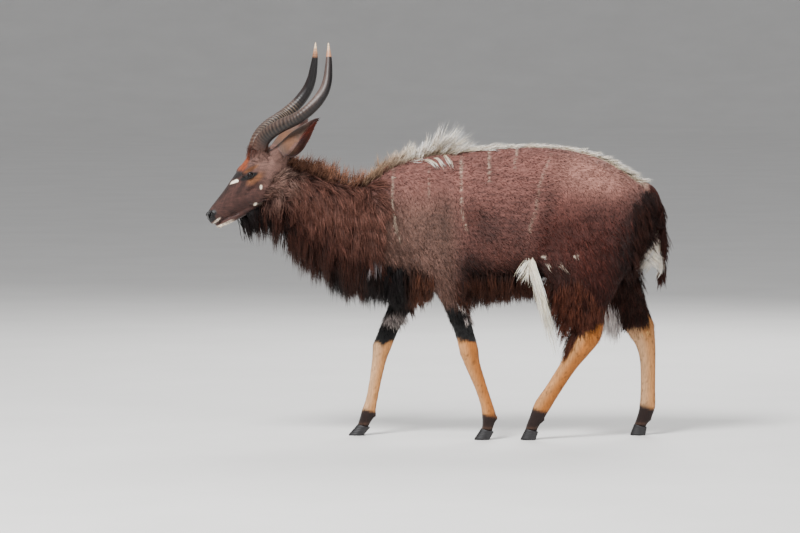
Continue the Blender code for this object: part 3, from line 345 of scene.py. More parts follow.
def spot(a, b, centre, sizes, soft=0.35, slope=0.0):
    """1 inside an ellipse in two coordinates, which may lean, falling to 0 past its edge."""
    turn = math.atan(slope)
    along = (a - centre[0]) * math.cos(turn) + (b - centre[1]) * math.sin(turn)
    across = (b - centre[1]) * math.cos(turn) - (a - centre[0]) * math.sin(turn)
    return fade(np.hypot(along / sizes[0], across / sizes[1]), 1 - soft, 1 + soft)


def layered(base, *layers):
    """Colours or ways laid over a base, each by its share at each point."""
    for layer, share in layers:
        base = base + (layer - base) * share[:, None]
    return base


def ahead_of(line, x, z):
    """How far points in x and z lie ahead of a line, towards the nose."""
    (x0, z0), (x1, z1) = line
    length = math.hypot(x1 - x0, z1 - z0)
    return ((x - x0) * (z1 - z0) - (z - z0) * (x1 - x0)) / length


def from_polyline(x, z, line):
    """The distance of points in x and z from a line of points, and their share along it."""
    best, share = np.full(len(x), 9.0), np.zeros(len(x))
    for k, (a, b) in enumerate(zip(line, line[1:])):
        dx, dz = b[0] - a[0], b[1] - a[1]
        t = np.clip(((x - a[0]) * dx + (z - a[1]) * dz) / (dx * dx + dz * dz), 0, 1)
        away = np.hypot(x - a[0] - t * dx, z - a[1] - t * dz)
        share = np.where(away < best, (k + t) / (len(line) - 1), share)
        best = np.minimum(away, best)
    return best, share


def head_place(s, y, h):
    return HEAD_ORIGIN + s * HEAD_AXIS + h * HEAD_UP + np.array((0, y, 0))


def head_side(place, side):
    """A place of the head on one side of it."""
    return head_place(place[0], side * place[1], place[2])


def sided(vector, side):
    return np.array((vector[0], vector[1] * side, vector[2]))


def turned(points):
    """Where points of the straight model lie once the neck has turned to the left."""
    ahead = np.maximum(TURN_START - points[:, 0], 0)
    bent = np.where(points[:, 2] > STIFF_ABOVE, TURN_LENGTH, np.minimum(ahead, TURN_LENGTH))
    angle = HEAD_TURN * bent / TURN_LENGTH
    radius = TURN_LENGTH / HEAD_TURN
    past = ahead - bent
    x = TURN_START - radius * np.sin(angle) - past * np.cos(angle) - np.sin(angle) * points[:, 1]
    y = -radius * (1 - np.cos(angle)) - past * np.sin(angle) + np.cos(angle) * points[:, 1]
    y = y + NECK_SWING * ramp(bent, 0, TURN_LENGTH)
    stays = points[:, 0] >= TURN_START
    return np.stack((np.where(stays, points[:, 0], x), np.where(stays, points[:, 1], y), points[:, 2]), 1)


def smooth_rows(rows, steps):
    """Rows of numbers with steps rows to each span, on a Catmull-Rom curve through them."""
    rows = np.array(rows, float)
    made = []
    for i in range(len(rows) - 1):
        before, a = rows[max(i - 1, 0)], rows[i]
        b, after = rows[i + 1], rows[min(i + 2, len(rows) - 1)]
        for k in range(steps):
            t = k / steps
            made.append(0.5 * (2 * a + (b - before) * t + (2 * before - 5 * a + 4 * b - after) * t * t
                               + (3 * a - before - 3 * b + after) * t ** 3))
    return np.array(made + [rows[-1]])


def section(half_width, rise, drop, power_up, power_down, sides):
    """Distances across and above the middle, round a closed section."""
    angle = 2 * np.pi * np.arange(sides) / sides
    c, s = np.cos(angle), np.sin(angle)
    power = np.where(s > 0, 2 / power_up, 2 / power_down)
    across = half_width * np.sign(c) * np.abs(c) ** power
    above = np.where(s > 0, rise, drop) * np.sign(s) * np.abs(s) ** power
    return across, above


# Meshes

def new_object(name, mesh):
    made = bpy.data.objects.new(name, mesh)
    bpy.context.scene.collection.objects.link(made)
    return made


def from_bmesh(name, made, mend=True):
    if mend:
        bmesh.ops.recalc_face_normals(made, faces=made.faces)
    mesh = bpy.data.meshes.new(name)
    made.to_mesh(mesh)
    made.free()
    return new_object(name, mesh)


def loft(name, rings, closed=False):
    """A closed body through rings of as many points each, or a ring-shaped one."""
    made = bmesh.new()
    rows = [[made.verts.new(p) for p in ring] for ring in rings]
    count = len(rows[0])
    for a, b in zip(rows, rows[1:] + (rows[:1] if closed else [])):
        for k in range(count):
            made.faces.new((a[k], a[(k + 1) % count], b[(k + 1) % count], b[k]))
    if not closed:
        made.faces.new(rows[0])
        made.faces.new(rows[-1][::-1])
    return from_bmesh(name, made)


def ball(name, centre, sizes, tilt=0.0, segments=32):
    made = bmesh.new()
    shape = Matrix.LocRotScale(Vector(centre), Matrix.Rotation(tilt, 3, "Y"), Vector(sizes))
    bmesh.ops.create_uvsphere(made, u_segments=segments, v_segments=segments // 2, radius=1, matrix=shape)
    return from_bmesh(name, made)


def rod(name, low, high, radius):
    made = bmesh.new()
    low, high = Vector(low), Vector(high)
    turn = (high - low).to_track_quat("Z", "Y").to_matrix().to_4x4()
    place = Matrix.Translation((low + high) / 2) @ turn
    bmesh.ops.create_cone(made, cap_ends=True, segments=28, radius1=radius, radius2=radius,
                          depth=(high - low).length, matrix=place)
    return from_bmesh(name, made)


def tube_rings(path, sides, power=2.0):
    """Rings round a path in the xz plane, each row of it x, y, z, half depth and half width."""
    rings = []
    for i, row in enumerate(path):
        ahead, behind = path[min(i + 1, len(path) - 1)], path[max(i - 1, 0)]
        along = unit(np.array((ahead[0] - behind[0], 0, ahead[2] - behind[2])))
        front = np.cross(along, (0, 1, 0))
        across, above = section(row[4], row[3], row[3], power, power, sides)
        rings.append(row[:3] + across[:, None] * np.array((0, 1, 0)) + above[:, None] * front)
    return rings


def evaluated_mesh(found):
    graph = bpy.context.evaluated_depsgraph_get()
    return bpy.data.meshes.new_from_object(found.evaluated_get(graph))


def evaluated(source, name):
    """A copy of an object with its modifiers applied. The source is removed."""
    mesh = evaluated_mesh(source)
    bpy.data.objects.remove(source)
    return new_object(name, mesh)


def fused(name, pieces, voxel, rounds, weight):
    """The pieces as one skin, smoothed by so many rounds where weight(points) is 1."""
    made = bmesh.new()
    for piece in pieces:
        made.from_mesh(piece.data)
        bpy.data.objects.remove(piece)
    rough = from_bmesh(name, made, mend=False)
    remesh = rough.modifiers.new("Fuse", "REMESH")
    remesh.mode = "VOXEL"
    remesh.voxel_size = voxel
    fine = evaluated(rough, name)
    group = fine.vertex_groups.new(name="broad")
    shares = np.round(np.clip(weight(coordinates(fine)), 0, 1), 1)
    for level in np.unique(shares):
        group.add(np.flatnonzero(shares == level).tolist(), float(level), "REPLACE")
    smooth = fine.modifiers.new("Smooth", "SMOOTH")
    smooth.factor = 0.5
    smooth.iterations = rounds
    smooth.vertex_group = group.name
    return evaluated(fine, name)


def carve(target, cutter, operation="DIFFERENCE"):
    """Applies one Boolean of closed meshes, and removes the cutter."""
    modifier = target.modifiers.new("Cut", "BOOLEAN")
    modifier.operation = operation
    modifier.solver = "MANIFOLD"
    modifier.object = cutter
    mesh = evaluated_mesh(target)
    target.modifiers.clear()
    target.data = mesh
    bpy.data.objects.remove(cutter)


def read(rows, name, width=1, kind=np.float32):
    """One value of each row of a mesh's collection."""
    flat = np.empty(len(rows) * width, kind)
    rows.foreach_get(name, flat)
    return flat.reshape(-1, width) if width > 1 else flat


def coordinates(found):
    return read(found.data.vertices, "co", 3).astype(float)


def move_points(found, points):
    found.data.vertices.foreach_set("co", points.astype(np.float32).ravel())
    found.data.update()


def mesh_of(name, points, faces):
    """A smooth mesh object from arrays of points and triangles."""
    mesh = bpy.data.meshes.new(name)
    mesh.vertices.add(len(points))
    mesh.vertices.foreach_set("co", points.astype(np.float32).ravel())
    mesh.loops.add(faces.size)
    mesh.loops.foreach_set("vertex_index", faces.astype(np.int32).ravel())
    mesh.polygons.add(len(faces))
    mesh.polygons.foreach_set("loop_start", np.arange(0, faces.size, 3, dtype=np.int32))
    mesh.update(calc_edges=True)
    mesh.polygons.foreach_set("use_smooth", np.full(len(faces), True))
    return new_object(name, mesh)


def set_colours(found, colours):
    layer = found.data.attributes.new("coat_colour", "FLOAT_COLOR", "POINT")
    rows = np.concatenate((np.clip(colours, 0, 1), np.ones((len(colours), 1))), 1)
    layer.data.foreach_set("color", rows.astype(np.float32).ravel())


def set_number(found, name, values):
    layer = found.data.attributes.new(name, "FLOAT", "POINT")
    layer.data.foreach_set("value", values.astype(np.float32))


def set_map(found, places):
    layer = found.data.uv_layers.new(name="OFBake")
    layer.data.foreach_set("uv", places.astype(np.float32).ravel())


# Flesh

def torso_body():
    rings = []
    for x, back, belly, half_width in smooth_rows(TORSO, 6):
        middle = belly + (back - belly) * TORSO_WIDEST
        across, above = section(half_width, back - middle, middle - belly, 1.85, 2.15, 72)
        rings.append(np.stack((np.full(72, x), across, middle + above), 1))
    return loft("torso_body", rings)


def neck_body(stations, shrink):
    """The neck. It shrinks by a share along it, to dip under the skin it joins."""
    rows = smooth_rows(stations, 8)
    rows[:, 2:] *= shrink(np.linspace(0, 1, len(rows)))[:, None]
    rings = []
    for i, (x, z, rise, drop, half_width) in enumerate(rows):
        a, b = rows[max(i - 1, 0)], rows[min(i + 1, len(rows) - 1)]
        along = unit(np.array((b[0] - a[0], 0, b[1] - a[1])))
        across, above = section(half_width, rise, drop, 1.7, 2.1, 72)
        ring = np.array((x, 0, z)) + above[:, None] * np.cross(along, (0, 1, 0))
        ring[:, 1] += across
        rings.append(ring)
    return loft("neck_body", rings)


def leg_bodies():
    made = []
    for name, (rows, side) in LEGS.items():
        path = smooth_rows(rows, 6)
        path[:, 1] *= side
        made.append(loft(name, tube_rings(path, 40, 2.15)))
        made += joint_forms(name, rows, side)
    return made


def joint_forms(name, rows, side):
    """The hock, or the knee and elbow, and the dewclaws."""
    made = []
    if name.startswith("hind"):
        x, y, z, depth, _ = rows[7]
        lean = 0.5 if side == LEFT else 0.1
        made.append(ball("hock", (x + depth * 0.62, side * y, z + 0.012), (0.021, 0.021, 0.034), lean))
    else:
        x, y, z, depth, _ = rows[8]
        made.append(ball("knee", (x - depth * 0.25, side * y, z), (0.031, 0.032, 0.036)))
        elbow = (rows[3][0] + 0.082, side * (rows[3][1] + 0.018), rows[3][2] + 0.012)
        made.append(ball("elbow", elbow, (0.030, 0.026, 0.040), 0.3))
    x, y, z, depth, _ = rows[12]
    for toe in (LEFT, RIGHT):
        claw = (x + depth * 0.92, side * y + toe * 0.012, z - 0.008)
        made.append(ball("claw", claw, (0.009, 0.0075, 0.013), 0.4, 16))
    return made


def skull_bodies():
    rings = []
    for s, top, low, half_width, widest in smooth_rows(SKULL, 8):
        across, above = section(half_width, top - widest, widest - low, 2.0, 1.85, 64)
        rings.append([head_place(s, y, widest + h) for y, h in zip(across, above)])
    made = [loft("skull", rings)]
    rings = []
    for s, top, low, half_width in smooth_rows(JAW, 8):
        middle = (top + low) / 2
        across, above = section(half_width, top - middle, middle - low, 2.4, 2.0, 48)
        rings.append([head_place(s, y, middle + h) for y, h in zip(across, above)])
    return made + [loft("jaw", rings)]


def ear_shell(side):
    """A cupped leaf whose edges roll in towards its root."""
    root, axis = head_side(EAR_ROOT, side), sided(EAR_AXIS, side)
    opening = sided(EAR_OPENING, side)
    opening = unit(opening - axis * (opening @ axis))
    across = np.cross(axis, opening) * side
    made = bmesh.new()
    rows = []
    for i in range(40):
        u = i / 39
        width = EAR_HALF_WIDTH * math.sin(math.pi * (0.14 + 0.86 * u) ** 0.85) ** 0.8 + 0.0015
        wrap = math.radians(122 - 60 * u)
        radius = width / math.sin(min(wrap, math.pi / 2))
        centre = root + axis * (EAR_BASE - 0.010 + (EAR_LENGTH - EAR_BASE + 0.006) * u)
        row = []
        for k in range(25):
            a = wrap * (k / 12 - 1)
            away = width * 0.6 - radius * math.cos(a)
            row.append(made.verts.new(centre + across * radius * math.sin(a) + opening * away))
        rows.append(row)
    for a, b in zip(rows, rows[1:]):
        for k in range(24):
            made.faces.new((a[k], a[k + 1], b[k + 1], b[k]))
    leaf = from_bmesh("ear", made)
    wall = leaf.modifiers.new("Wall", "SOLIDIFY")
    wall.thickness = 0.0048
    wall.offset = 0
    return evaluated(leaf, "ear")


def head_bodies():
    made = skull_bodies()
    for side in (LEFT, RIGHT):
        for s, y, h, *sizes in HEAD_FORMS:
            made.append(ball("form", head_place(s, side * y, h), sizes, -HEAD_SLOPE))
        made.append(ball("lid", head_side(EYE, side), (EYE_RADIUS + 0.003,) * 3))
        root, axis = head_side(EAR_ROOT, side), sided(EAR_AXIS, side)
        made.append(rod("ear_stub", root - axis * 0.02, root + axis * (EAR_BASE + 0.022), 0.0215))
        low, high = (sided(HORN[k][:3], side) for k in (0, 1))
        out = unit(high - low)
        made.append(rod("horn_stub", low - out * 0.02, high - out * 0.001, HORN[0][3] + 0.0005))
    return made


def almond(side, radius, count=40):
    """Points of the almond round an eye, on a ball of so large a radius."""
    tilt = HEAD_SLOPE * 0.30
    long_way = np.cos(tilt) * HEAD_AXIS - np.sin(tilt) * HEAD_UP
    high_way = np.cos(tilt) * HEAD_UP + np.sin(tilt) * HEAD_AXIS
    made = []
    for k in range(count):
        a = 2 * math.pi * k / count
        up = math.sin(a)
        rise = 0.60 * math.copysign(abs(up) ** 1.25, up) * (1.1 if up > 0 else 0.85)
        way = long_way * 0.92 * math.cos(a) + high_way * rise + np.array((0, side, 0))
        made.append(head_side(EYE, side) + unit(way) * radius)
    return made


def open_face(head):
    """Cuts the sockets and the slits of the lids, the nostrils and the mouth."""
    for side in (LEFT, RIGHT):
        carve(head, ball("socket", head_side(EYE, side), (EYE_RADIUS + 0.0006,) * 3, 0, 48))
        carve(head, loft("slit", [almond(side, 0.012), almond(side, 0.032)]))
        s, y, h = NOSTRIL
        place = head_place(s + 0.001, side * y, h)
        carve(head, ball("nostril", place, (0.0105, 0.009, 0.0038), -HEAD_SLOPE - 0.75, 32))
        place = head_place(s + 0.010, side * (y + 0.003), h + 0.006)
        carve(head, ball("nostril_tail", place, (0.006, 0.005, 0.0024), -HEAD_SLOPE - 0.3, 24))
        carve(head, mouth_strip(*sorted((side * 0.0165, side * 0.06)), MOUTH))
    carve(head, mouth_strip(-0.02, 0.02, MOUTH[:2]))


def mouth_strip(low, high, line):
    """A thin strip through the line of the mouth, from one y to another."""
    line = smooth_rows(line, 6)
    upper = [head_place(s, 0, h + 0.0011) for s, h in line]
    lower = [head_place(s, 0, h - 0.0011) for s, h in line[::-1]]
    return loft("mouth", [[p + np.array((0, y, 0)) for p in upper + lower] for y in (low, high)])


def leg_axis(rows, z):
    """The x and the distance from the middle of a leg's axis at heights z."""
    table = np.array(rows)[::-1]
    return np.interp(z, table[:, 2], table[:, 0]), np.interp(z, table[:, 2], table[:, 1])


def coat_depth(points):
    """How far the skin lies under the solids' surface."""
    x, z = points[:, 0], points[:, 2]
    head = ramp(ahead_of(HEAD_LINE, x, z), -0.05, 0.03)
    low = fade(z, 0.30, 0.52)
    depth = 0.0085 + 0.0035 * between(x, -0.60, -0.22, 0.05)
    depth = depth * (1 - low) + 0.0030 * low
    return depth * (1 - head) + 0.0012 * head


def make_skin():
    """One closed skin of the whole animal, still straight, under its coat."""
    dock = smooth_rows(TAIL, 6)
    path = np.stack((dock[:, 0], dock[:, 0] * 0, dock[:, 1], dock[:, 2], dock[:, 3]), 1)
    pieces = [torso_body(), neck_body(NECK, lambda t: 1 - 0.05 * fade(t, 0.0, 0.14))]
    pieces += leg_bodies() + [loft("dock", tube_rings(path, 28))]
    for side in (LEFT, RIGHT):
        for x, y, z, *sizes in BODY_FORMS:
            pieces.append(ball("muscle", (x, side * y, z), sizes))
    body = fused("body", pieces, BODY_VOXEL, 40, lambda p: np.maximum((p[:, 2] - 0.42) / 0.2, 0.12))
    pieces = head_bodies() + [neck_body(NECK[:3], lambda t: 1 - 0.06 * ramp(t, 0.25, 0.7))]
    head = fused("head_skin", pieces, HEAD_VOXEL, 7, lambda p: np.ones(len(p)))
    inset(body)
    inset(head)
    cut_feet(body)
    for side in (LEFT, RIGHT):
        carve(head, ear_shell(side), "UNION")
    open_face(head)
    carve(body, head, "UNION")
    body.name = "skin"
    return body


def inset(found):
    """Moves a skin in by the depth of its coat."""
    points, normals = coordinates(found), read(found.data.vertex_normals, "vector", 3)
    move_points(found, points - normals * coat_depth(points)[:, None])


def cut_feet(body):
    """Cuts the feet off at the coronets, where the hooves begin."""
    for rows, side in LEGS.values():
        x, y = next((row[0], row[1]) for row in rows if row[2] < 0.06)
        outline = [(x - 0.1, CORONET + CORONET_SLOPE * 0.1), (x + 0.1, CORONET - CORONET_SLOPE * 0.1),
                   (x + 0.1, -0.1), (x - 0.1, -0.1)]
        carve(body, loft("sole", [[(a, side * y + w, b) for a, b in outline] for w in (-0.06, 0.06)]))


# Places on the skin

class Places:
    """Points of the straight skin with the ways out of it, and where on the animal they lie."""

    def __init__(self, points, normals=None):
        self.points, self.normals = points, normals
        self.x, self.y, self.z = points.T
        self.side = np.abs(self.y)
        away = points - HEAD_ORIGIN
        self.s, self.h = away @ HEAD_AXIS, away @ HEAD_UP

    @cached_property
    def head(self):
        return ramp(ahead_of(HEAD_LINE, self.x, self.z), -0.012, 0.012) * ramp(self.z, 0.54, 0.58)

    @cached_property
    def neck(self):
        ahead = ramp(ahead_of(NECK_LINE, self.x, self.z), -0.05, 0.03)
        return ahead * (1 - self.head) * ramp(self.z, 0.54, 0.58)

    @cached_property
    def legs(self):
        """The share of each point in each leg below the body."""
        made = {}
        for name, (_, side) in LEGS.items():
            fore = name.startswith("fore")
            top = 0.56 if fore else 0.60
            half = self.x < 0.27 if fore else self.x >= 0.27
            near = ramp(self.y * side, 0.0, 0.02) * half * fade(self.z, top - 0.03, top + 0.02)
            made[name] = near * (1 - self.neck) * (1 - self.head)
        return made

    @cached_property
    def leg(self):
        return sum(self.legs.values())

    @cached_property
    def ears(self):
        """For each side, how far the points lie up that ear, or a negative number off it."""
        made = {}
        for side in (LEFT, RIGHT):
            away = self.points - head_side(EAR_ROOT, side)
            axis = sided(EAR_AXIS, side)
            up = away @ axis
            off = np.linalg.norm(away - up[:, None] * axis, axis=1)
            made[side] = np.where((up > EAR_BASE - 0.006) & (off < 0.062), up, -1)
        return made

    @property
    def above_axis(self):
        """How far the points lie above the neck's axis."""
        return self.z - np.interp(self.x, *np.array(NECK)[:, :2].T)

    @property
    def above_parting(self):
        return self.z - np.interp(self.x, *np.array(PARTING).T)

    @property
    def behind(self):
        """How far the points lie behind the line where the long hair starts."""
        return -ahead_of(MANE_LINE, self.x, self.z)

    @property
    def on_tail(self):
        return (self.x > 0.80) & (self.side < 0.05)

    def blotches(self, size, seed, stretch=(1, 1, 1)):
        """Smooth noise of a size, about -1 to 1, from a few waves."""
        draw = np.random.default_rng(seed)
        points = self.points * stretch
        total = np.zeros(len(points))
        for _ in range(7):
            way = unit(draw.normal(size=3)) * (2 * np.pi / size) * draw.uniform(0.6, 1.8)
            total += np.sin(points @ way + draw.uniform(0, 6.28))
        return total / 3.5


def along_skin(way, normals):
    return unit(way - normals * np.sum(way * normals, 1)[:, None])


def lie(p):
    """The way the coat lies, along the skin."""
    x, z = p.x, p.z
    way = np.tile((1.0, 0.0, -0.25), (len(x), 1))
    way[:, 2] -= 0.75 * fade(z, 0.65, 1.02)
    shoulder = between(x, -0.30, 0.12, 0.06) * between(z, 0.5, 0.95, 0.06)
    thigh = ramp(x, 0.38, 0.50) * fade(z, 0.88, 1.02)
    fan = np.stack((x - WHORL[0] + 0.03, x * 0, z - WHORL[1] - 0.02), 1)
    near_fan = fade(np.hypot(fan[:, 0], fan[:, 2]), 0.10, 0.22) * ramp(x, -0.33, -0.27)
    above = ramp(p.above_parting, -0.010, 0.015)
    down = layered(np.array((0.22, 0.0, -1.0)), ((0.55, 0.0, 0.85), above))
    face = HEAD_AXIS - HEAD_UP * (0.5 * ramp(-p.h, -0.01, 0.05))[:, None]
    way = layered(
        way,
        ((0.45, 0.0, -1.0), np.maximum(shoulder, thigh)),
        (unit(fan), near_fan),
        (down, p.neck),
        *(((0.08, 0.0, -1.0), share) for share in p.legs.values()),
        (face, p.head),
        *((sided(EAR_AXIS, side), (up > 0) * 1.0) for side, up in p.ears.items()),
    )
    way[p.on_tail & (z < 0.96)] = (0.02, 0.0, -1.0)
    way = along_skin(way, p.normals)
    waves = 0.12 * p.blotches(0.035, 31) * (1 - p.head) * (1 - p.leg)
    return unit(way + np.cross(p.normals, way) * waves[:, None])


# Markings

def body_colours(p):
    x, z = p.x, p.z
    behind_fold = x - np.interp(z, *np.array(FOLD)[:, ::-1].T)
    streaks = np.clip(0.75 + 0.35 * p.blotches(0.013, 8, (1, 1, 0.2)), 0, 1)
    base = layered(
        BACK,
        (FLANK, fade(z, 0.70, 1.02)),
        (SHOULDER, 0.9 * fade(x, 0.02, 0.12) * fade(z, 0.80, 1.00)),
        (RUMP, 0.9 * spot(x, z, (0.62, 1.01), (0.17, 0.10), 0.6)),
        (THIGH, 0.90 * ramp(behind_fold, -0.012, 0.06) * fade(z, 0.76, 0.98)),
        (linear("140705"), 0.85 * streaks * ramp(x + 0.26 * (0.9 - z), 0.66, 0.76) * fade(z, 0.84, 0.98)),
        (RUST, 0.45 * between(x, 0.10, 0.34, 0.06) * fade(z, 0.62, 0.86)),
        (BELLY, fade(z, 0.620, 0.700) * between(x, 0.10, 0.50, 0.04)),
        # painted shade: a darker rust spot behind the shoulder
        (RUST * 0.6, 0.6 * spot(x, z, (0.135, 0.835), (0.045, 0.045), 0.8)),
    )
    light = 1 + 0.12 * p.blotches(0.16, 3) + 0.08 * p.blotches(0.05, 4)
    light = light + 0.34 * p.blotches(0.011, 6, (0.45, 1, 1))
    for middle_x, middle_z, half_x, half_z, change in SHADES:
        light = light + change * spot(x, z, (middle_x, middle_z), (half_x, half_z), 0.9)
    base = base * light[:, None]
    dots = ramp(p.blotches(0.009, 5, (0.3, 0.3, 1)), -0.8, 0.2)
    for strength, *line in STRIPES:
        away, share = from_polyline(x, z, line)
        ends = ramp(share, 0, 0.10) * fade(share, 0.85, 1)
        base = layered(base, (CREAM * 0.8, strength * dots * fade(away, 0.0010, 0.0050) * ends))
    for place in THIGH_SPOTS:
        base = layered(base, (WHITE * 0.7, 0.9 * spot(x, z, place, (0.0068, 0.0058))))
    ridge = fade(p.side, 0.012, 0.030) * ramp(z, 0.90, 0.97) * between(x, -0.10, 0.76, 0.06)
    return layered(base, (CREAM, 0.9 * ridge))


def throat_patch(p):
    """Where the long hair of the lower neck is black."""
    return spot(p.x, p.z, (-0.385, 0.610), (0.045, 0.100), 0.5)


def neck_colours(p):
    base = layered(NECK_SIDE, (THROAT, fade(p.above_axis, -0.11, 0.07)), (BLACK, 0.9 * throat_patch(p)))
    base = base * (1 + 0.22 * p.blotches(0.05, 7, (1, 1, 0.4)))[:, None]
    away, _ = from_polyline(p.x, p.z, PARTING)
    return layered(base, (BLACK, 0.6 * fade(away, 0.004, 0.020)))


def hem_line(name, x, z):
    """How far points lie above the edge where the dark hair of a hind leg ends."""
    if name == "hind_left":
        return z - np.interp(x, (0.44, 0.600, 0.640), (0.320, 0.445, 0.450))
    return z - np.interp(x, (0.700, 0.785, 0.800), (0.405, 0.410, 0.490))


def leg_colours(p, name):
    rows, side = LEGS[name]
    middle, off = leg_axis(rows, p.z)
    off_axis = p.x - middle
    inner = ramp((off - p.y * side) / 0.03, -0.4, 0.6)
    front = ramp(-off_axis / 0.03, -0.5, 0.7)
    wave = 0.010 * p.blotches(0.06, 9)
    z = p.z + wave
    base = layered(
        TAN,
        (PALE_TAN, 0.85 * inner * (0.35 + 0.65 * front)),
        (PALE_TAN, 0.35 * front),
        (linear("8a4a1e"), 0.45 * (1 - front) * (1 - inner)),
        (DARK_FOOT, 0.45 * ramp(p.blotches(0.010, 15, (1, 1, 0.5)), 0.75, 0.95)),
    )
    if name == "fore_left":
        base = layered(base, (BLACK, ramp(z, 0.365, 0.378)), (SHOULDER, ramp(z, 0.485, 0.530)),
                       # a brighter copy of the shoulder colour: painted light on the elbow
                       (SHOULDER * 1.6, ramp(z, 0.560, 0.660)))
    elif name == "fore_right":
        point = 0.352 - 0.6 * np.maximum(0.025 - np.abs(off_axis), 0)
        base = layered(base, (BLACK, ramp(z, point - 0.008, point + 0.006)),
                       (GREY_HAIR, 0.9 * spot(off_axis, z, (-0.004, 0.442), (0.034, 0.026))))
    else:
        base = layered(base, (THIGH * 0.7, ramp(hem_line(name, p.x, p.z) + wave * 0.5, -0.012, 0.012)))
    high = 0.016 if name.startswith("hind") else 0.0
    foot = fade(p.z + wave * 0.7 + 0.25 * off_axis, 0.082 + high, 0.106 + high)
    return layered(base, (DARK_FOOT, foot), (linear("5f4536"), 0.35 * between(p.z, 0.040, 0.050, 0.004)))


def head_colours(p):
    s, h, side = p.s, p.h, p.side
    flank = ramp(side, 0.022, 0.040)
    chevron, along = from_polyline(s, h, ((0.114, 0.0575), (0.136, 0.0525), (0.157, 0.0465)))
    chevron = fade(chevron - 0.0008 - 0.0034 * along, 0, 0.002) * ramp(side, 0.010, 0.018)
    mottle = 0.35 + 0.55 * ramp(p.blotches(0.010, 21), -0.6, 0.5)
    chin = fade(h + 0.28 * s, -0.043, -0.037) * fade(s, 0.040, 0.062)
    base = layered(
        FACE,
        (CHEEK, ramp(s, 0.19, 0.27)),
        (linear("24130f"), 0.8 * ramp(h - side * 0.4, 0.012, 0.040) * fade(s, 0.13, 0.17)),
        (THROAT * 0.8, 0.9 * fade(h + 0.35 * s, -0.036, 0.004) * ramp(s, 0.05, 0.11)),
        (EYE_RING, 0.75 * spot(s, h, (0.212, 0.012), (0.036, 0.015), 0.5, -0.1) * flank),
        (EYE_RING, 0.9 * spot(s, h, (0.222, 0.050), (0.030, 0.007), 0.5, -0.2) * flank),
        (FOREHEAD, spot(s, h, (0.218, 0.084), (0.046, 0.015), 0.35, 0.25)),
        (linear("2a1613"), 0.6 * spot(s, h, (0.115, -0.036), (0.048, 0.013), 0.6, -0.1)),
        # painted shadow: dark brown at the front of the horn's base
        (linear("3a1a10"), 0.85 * spot(s, h, (0.268, 0.094), (0.026, 0.020), 0.5)),
        (linear("100908"), 0.95 * spot(s, h, (0.170, 0.064), (0.022, 0.014), 0.4, -0.2)),
        (linear("060304"), spot(s, h, (0.200, 0.032), (0.036, 0.0095), 0.25, -0.28) * flank),
        (linear("1c0f0c"), 0.55 * spot(s, h, (0.150, 0.018), (0.040, 0.008), 0.6, 0.30) * flank),
        (WHITE, chevron),
        (WHITE, spot(s, h, (0.209, -0.026), (0.0080, 0.0046), 0.35, 1.2)),
        (WHITE, spot(s, h, (0.154, -0.064), (0.0066, 0.0058))),
        (WHITE, 0.9 * spot(s, h, (0.005, -0.0205), (0.016, 0.0042), 0.4) * mottle),
        (WHITE, 0.95 * chin * mottle),
        (NOSE, nose_pad(p)),
    )
    base = base * (1 + 0.18 * p.blotches(0.03, 13) + 0.30 * p.blotches(0.007, 17))[:, None]
    for up in p.ears.values():
        share = np.clip(up / EAR_LENGTH, 0, 1)
        colour = layered(EAR_BACK, (EAR_TAN, 0.5 * between(share, 0.22, 0.50, 0.10)),
                         (linear("1c100d"), ramp(share, 0.86, 0.99)))
        base = layered(base, (colour, (up > 0) * 1.0))
    return base


def nose_pad(p):
    """Where the bare black skin of the nose lies."""
    pad = fade(p.s - 0.10 * (p.h + 0.01), 0.006, 0.012) * ramp(p.h, -0.017, -0.012)
    wing = spot(p.s, p.h, (0.010, 0.010), (0.016, 0.012), 0.3) * ramp(p.side, 0.008, 0.014)
    return np.maximum(pad, wing)


def markings(p):
    """The colour of the coat at places of the skin."""
    base = layered(
        body_colours(p),
        (neck_colours(p), p.neck),
        *((leg_colours(p, name), share) for name, share in p.legs.items()),
        (head_colours(p), p.head),
    )
    for side, up in p.ears.items():
        inside = (up > 0) * ramp(p.normals @ sided(EAR_OPENING, side), 0.0, 0.5)
        share = np.clip(up / EAR_LENGTH, 0, 1)
        colour = layered(EAR_LOW, (EAR_INSIDE, ramp(share, 0.40, 0.62)),
                         (linear("241512"), ramp(share, 0.84, 0.98)))
        base = layered(base, (colour, inside))
    edge = 0.665 - 0.80 * np.maximum(p.x + 0.19, 0)
    dark = between(p.x, -0.29, -0.025, 0.015) * fade(p.z, edge - 0.015, edge + 0.030) * (1 - p.head)
    brown = ramp(p.x, -0.13, -0.08)
    base = layered(base, (BLACK, 0.95 * dark * (1 - brown) * ramp(p.z, 0.44, 0.50)),
                   (linear("32180f"), 0.90 * dark * brown * ramp(p.z, 0.52, 0.56)))
    base[(p.x > 0.79) & (p.side < 0.05) & (p.z < 0.95)] = THIGH * 0.8
    return np.clip(base, 0.002, 1)


# The bake's map: one upright rectangle to each part, with the angle round it across

UNWRAP = {
    "torso": (0.010, 0.010, 0.560, 0.600),
    "neck": (0.580, 0.010, 0.780, 0.430),
    "tail": (0.580, 0.450, 0.780, 0.600),
    "head": (0.800, 0.010, 0.990, 0.440),
    "ear_back_left": (0.800, 0.460, 0.840, 0.600),
    "ear_cup_left": (0.850, 0.460, 0.890, 0.600),
    "ear_back_right": (0.900, 0.460, 0.940, 0.600),
    "ear_cup_right": (0.950, 0.460, 0.990, 0.600),
    "fore_left": (0.010, 0.620, 0.240, 0.990),
    "fore_right": (0.260, 0.620, 0.490, 0.990),
    "hind_left": (0.510, 0.620, 0.740, 0.990),
    "hind_right": (0.760, 0.620, 0.990, 0.990),
}


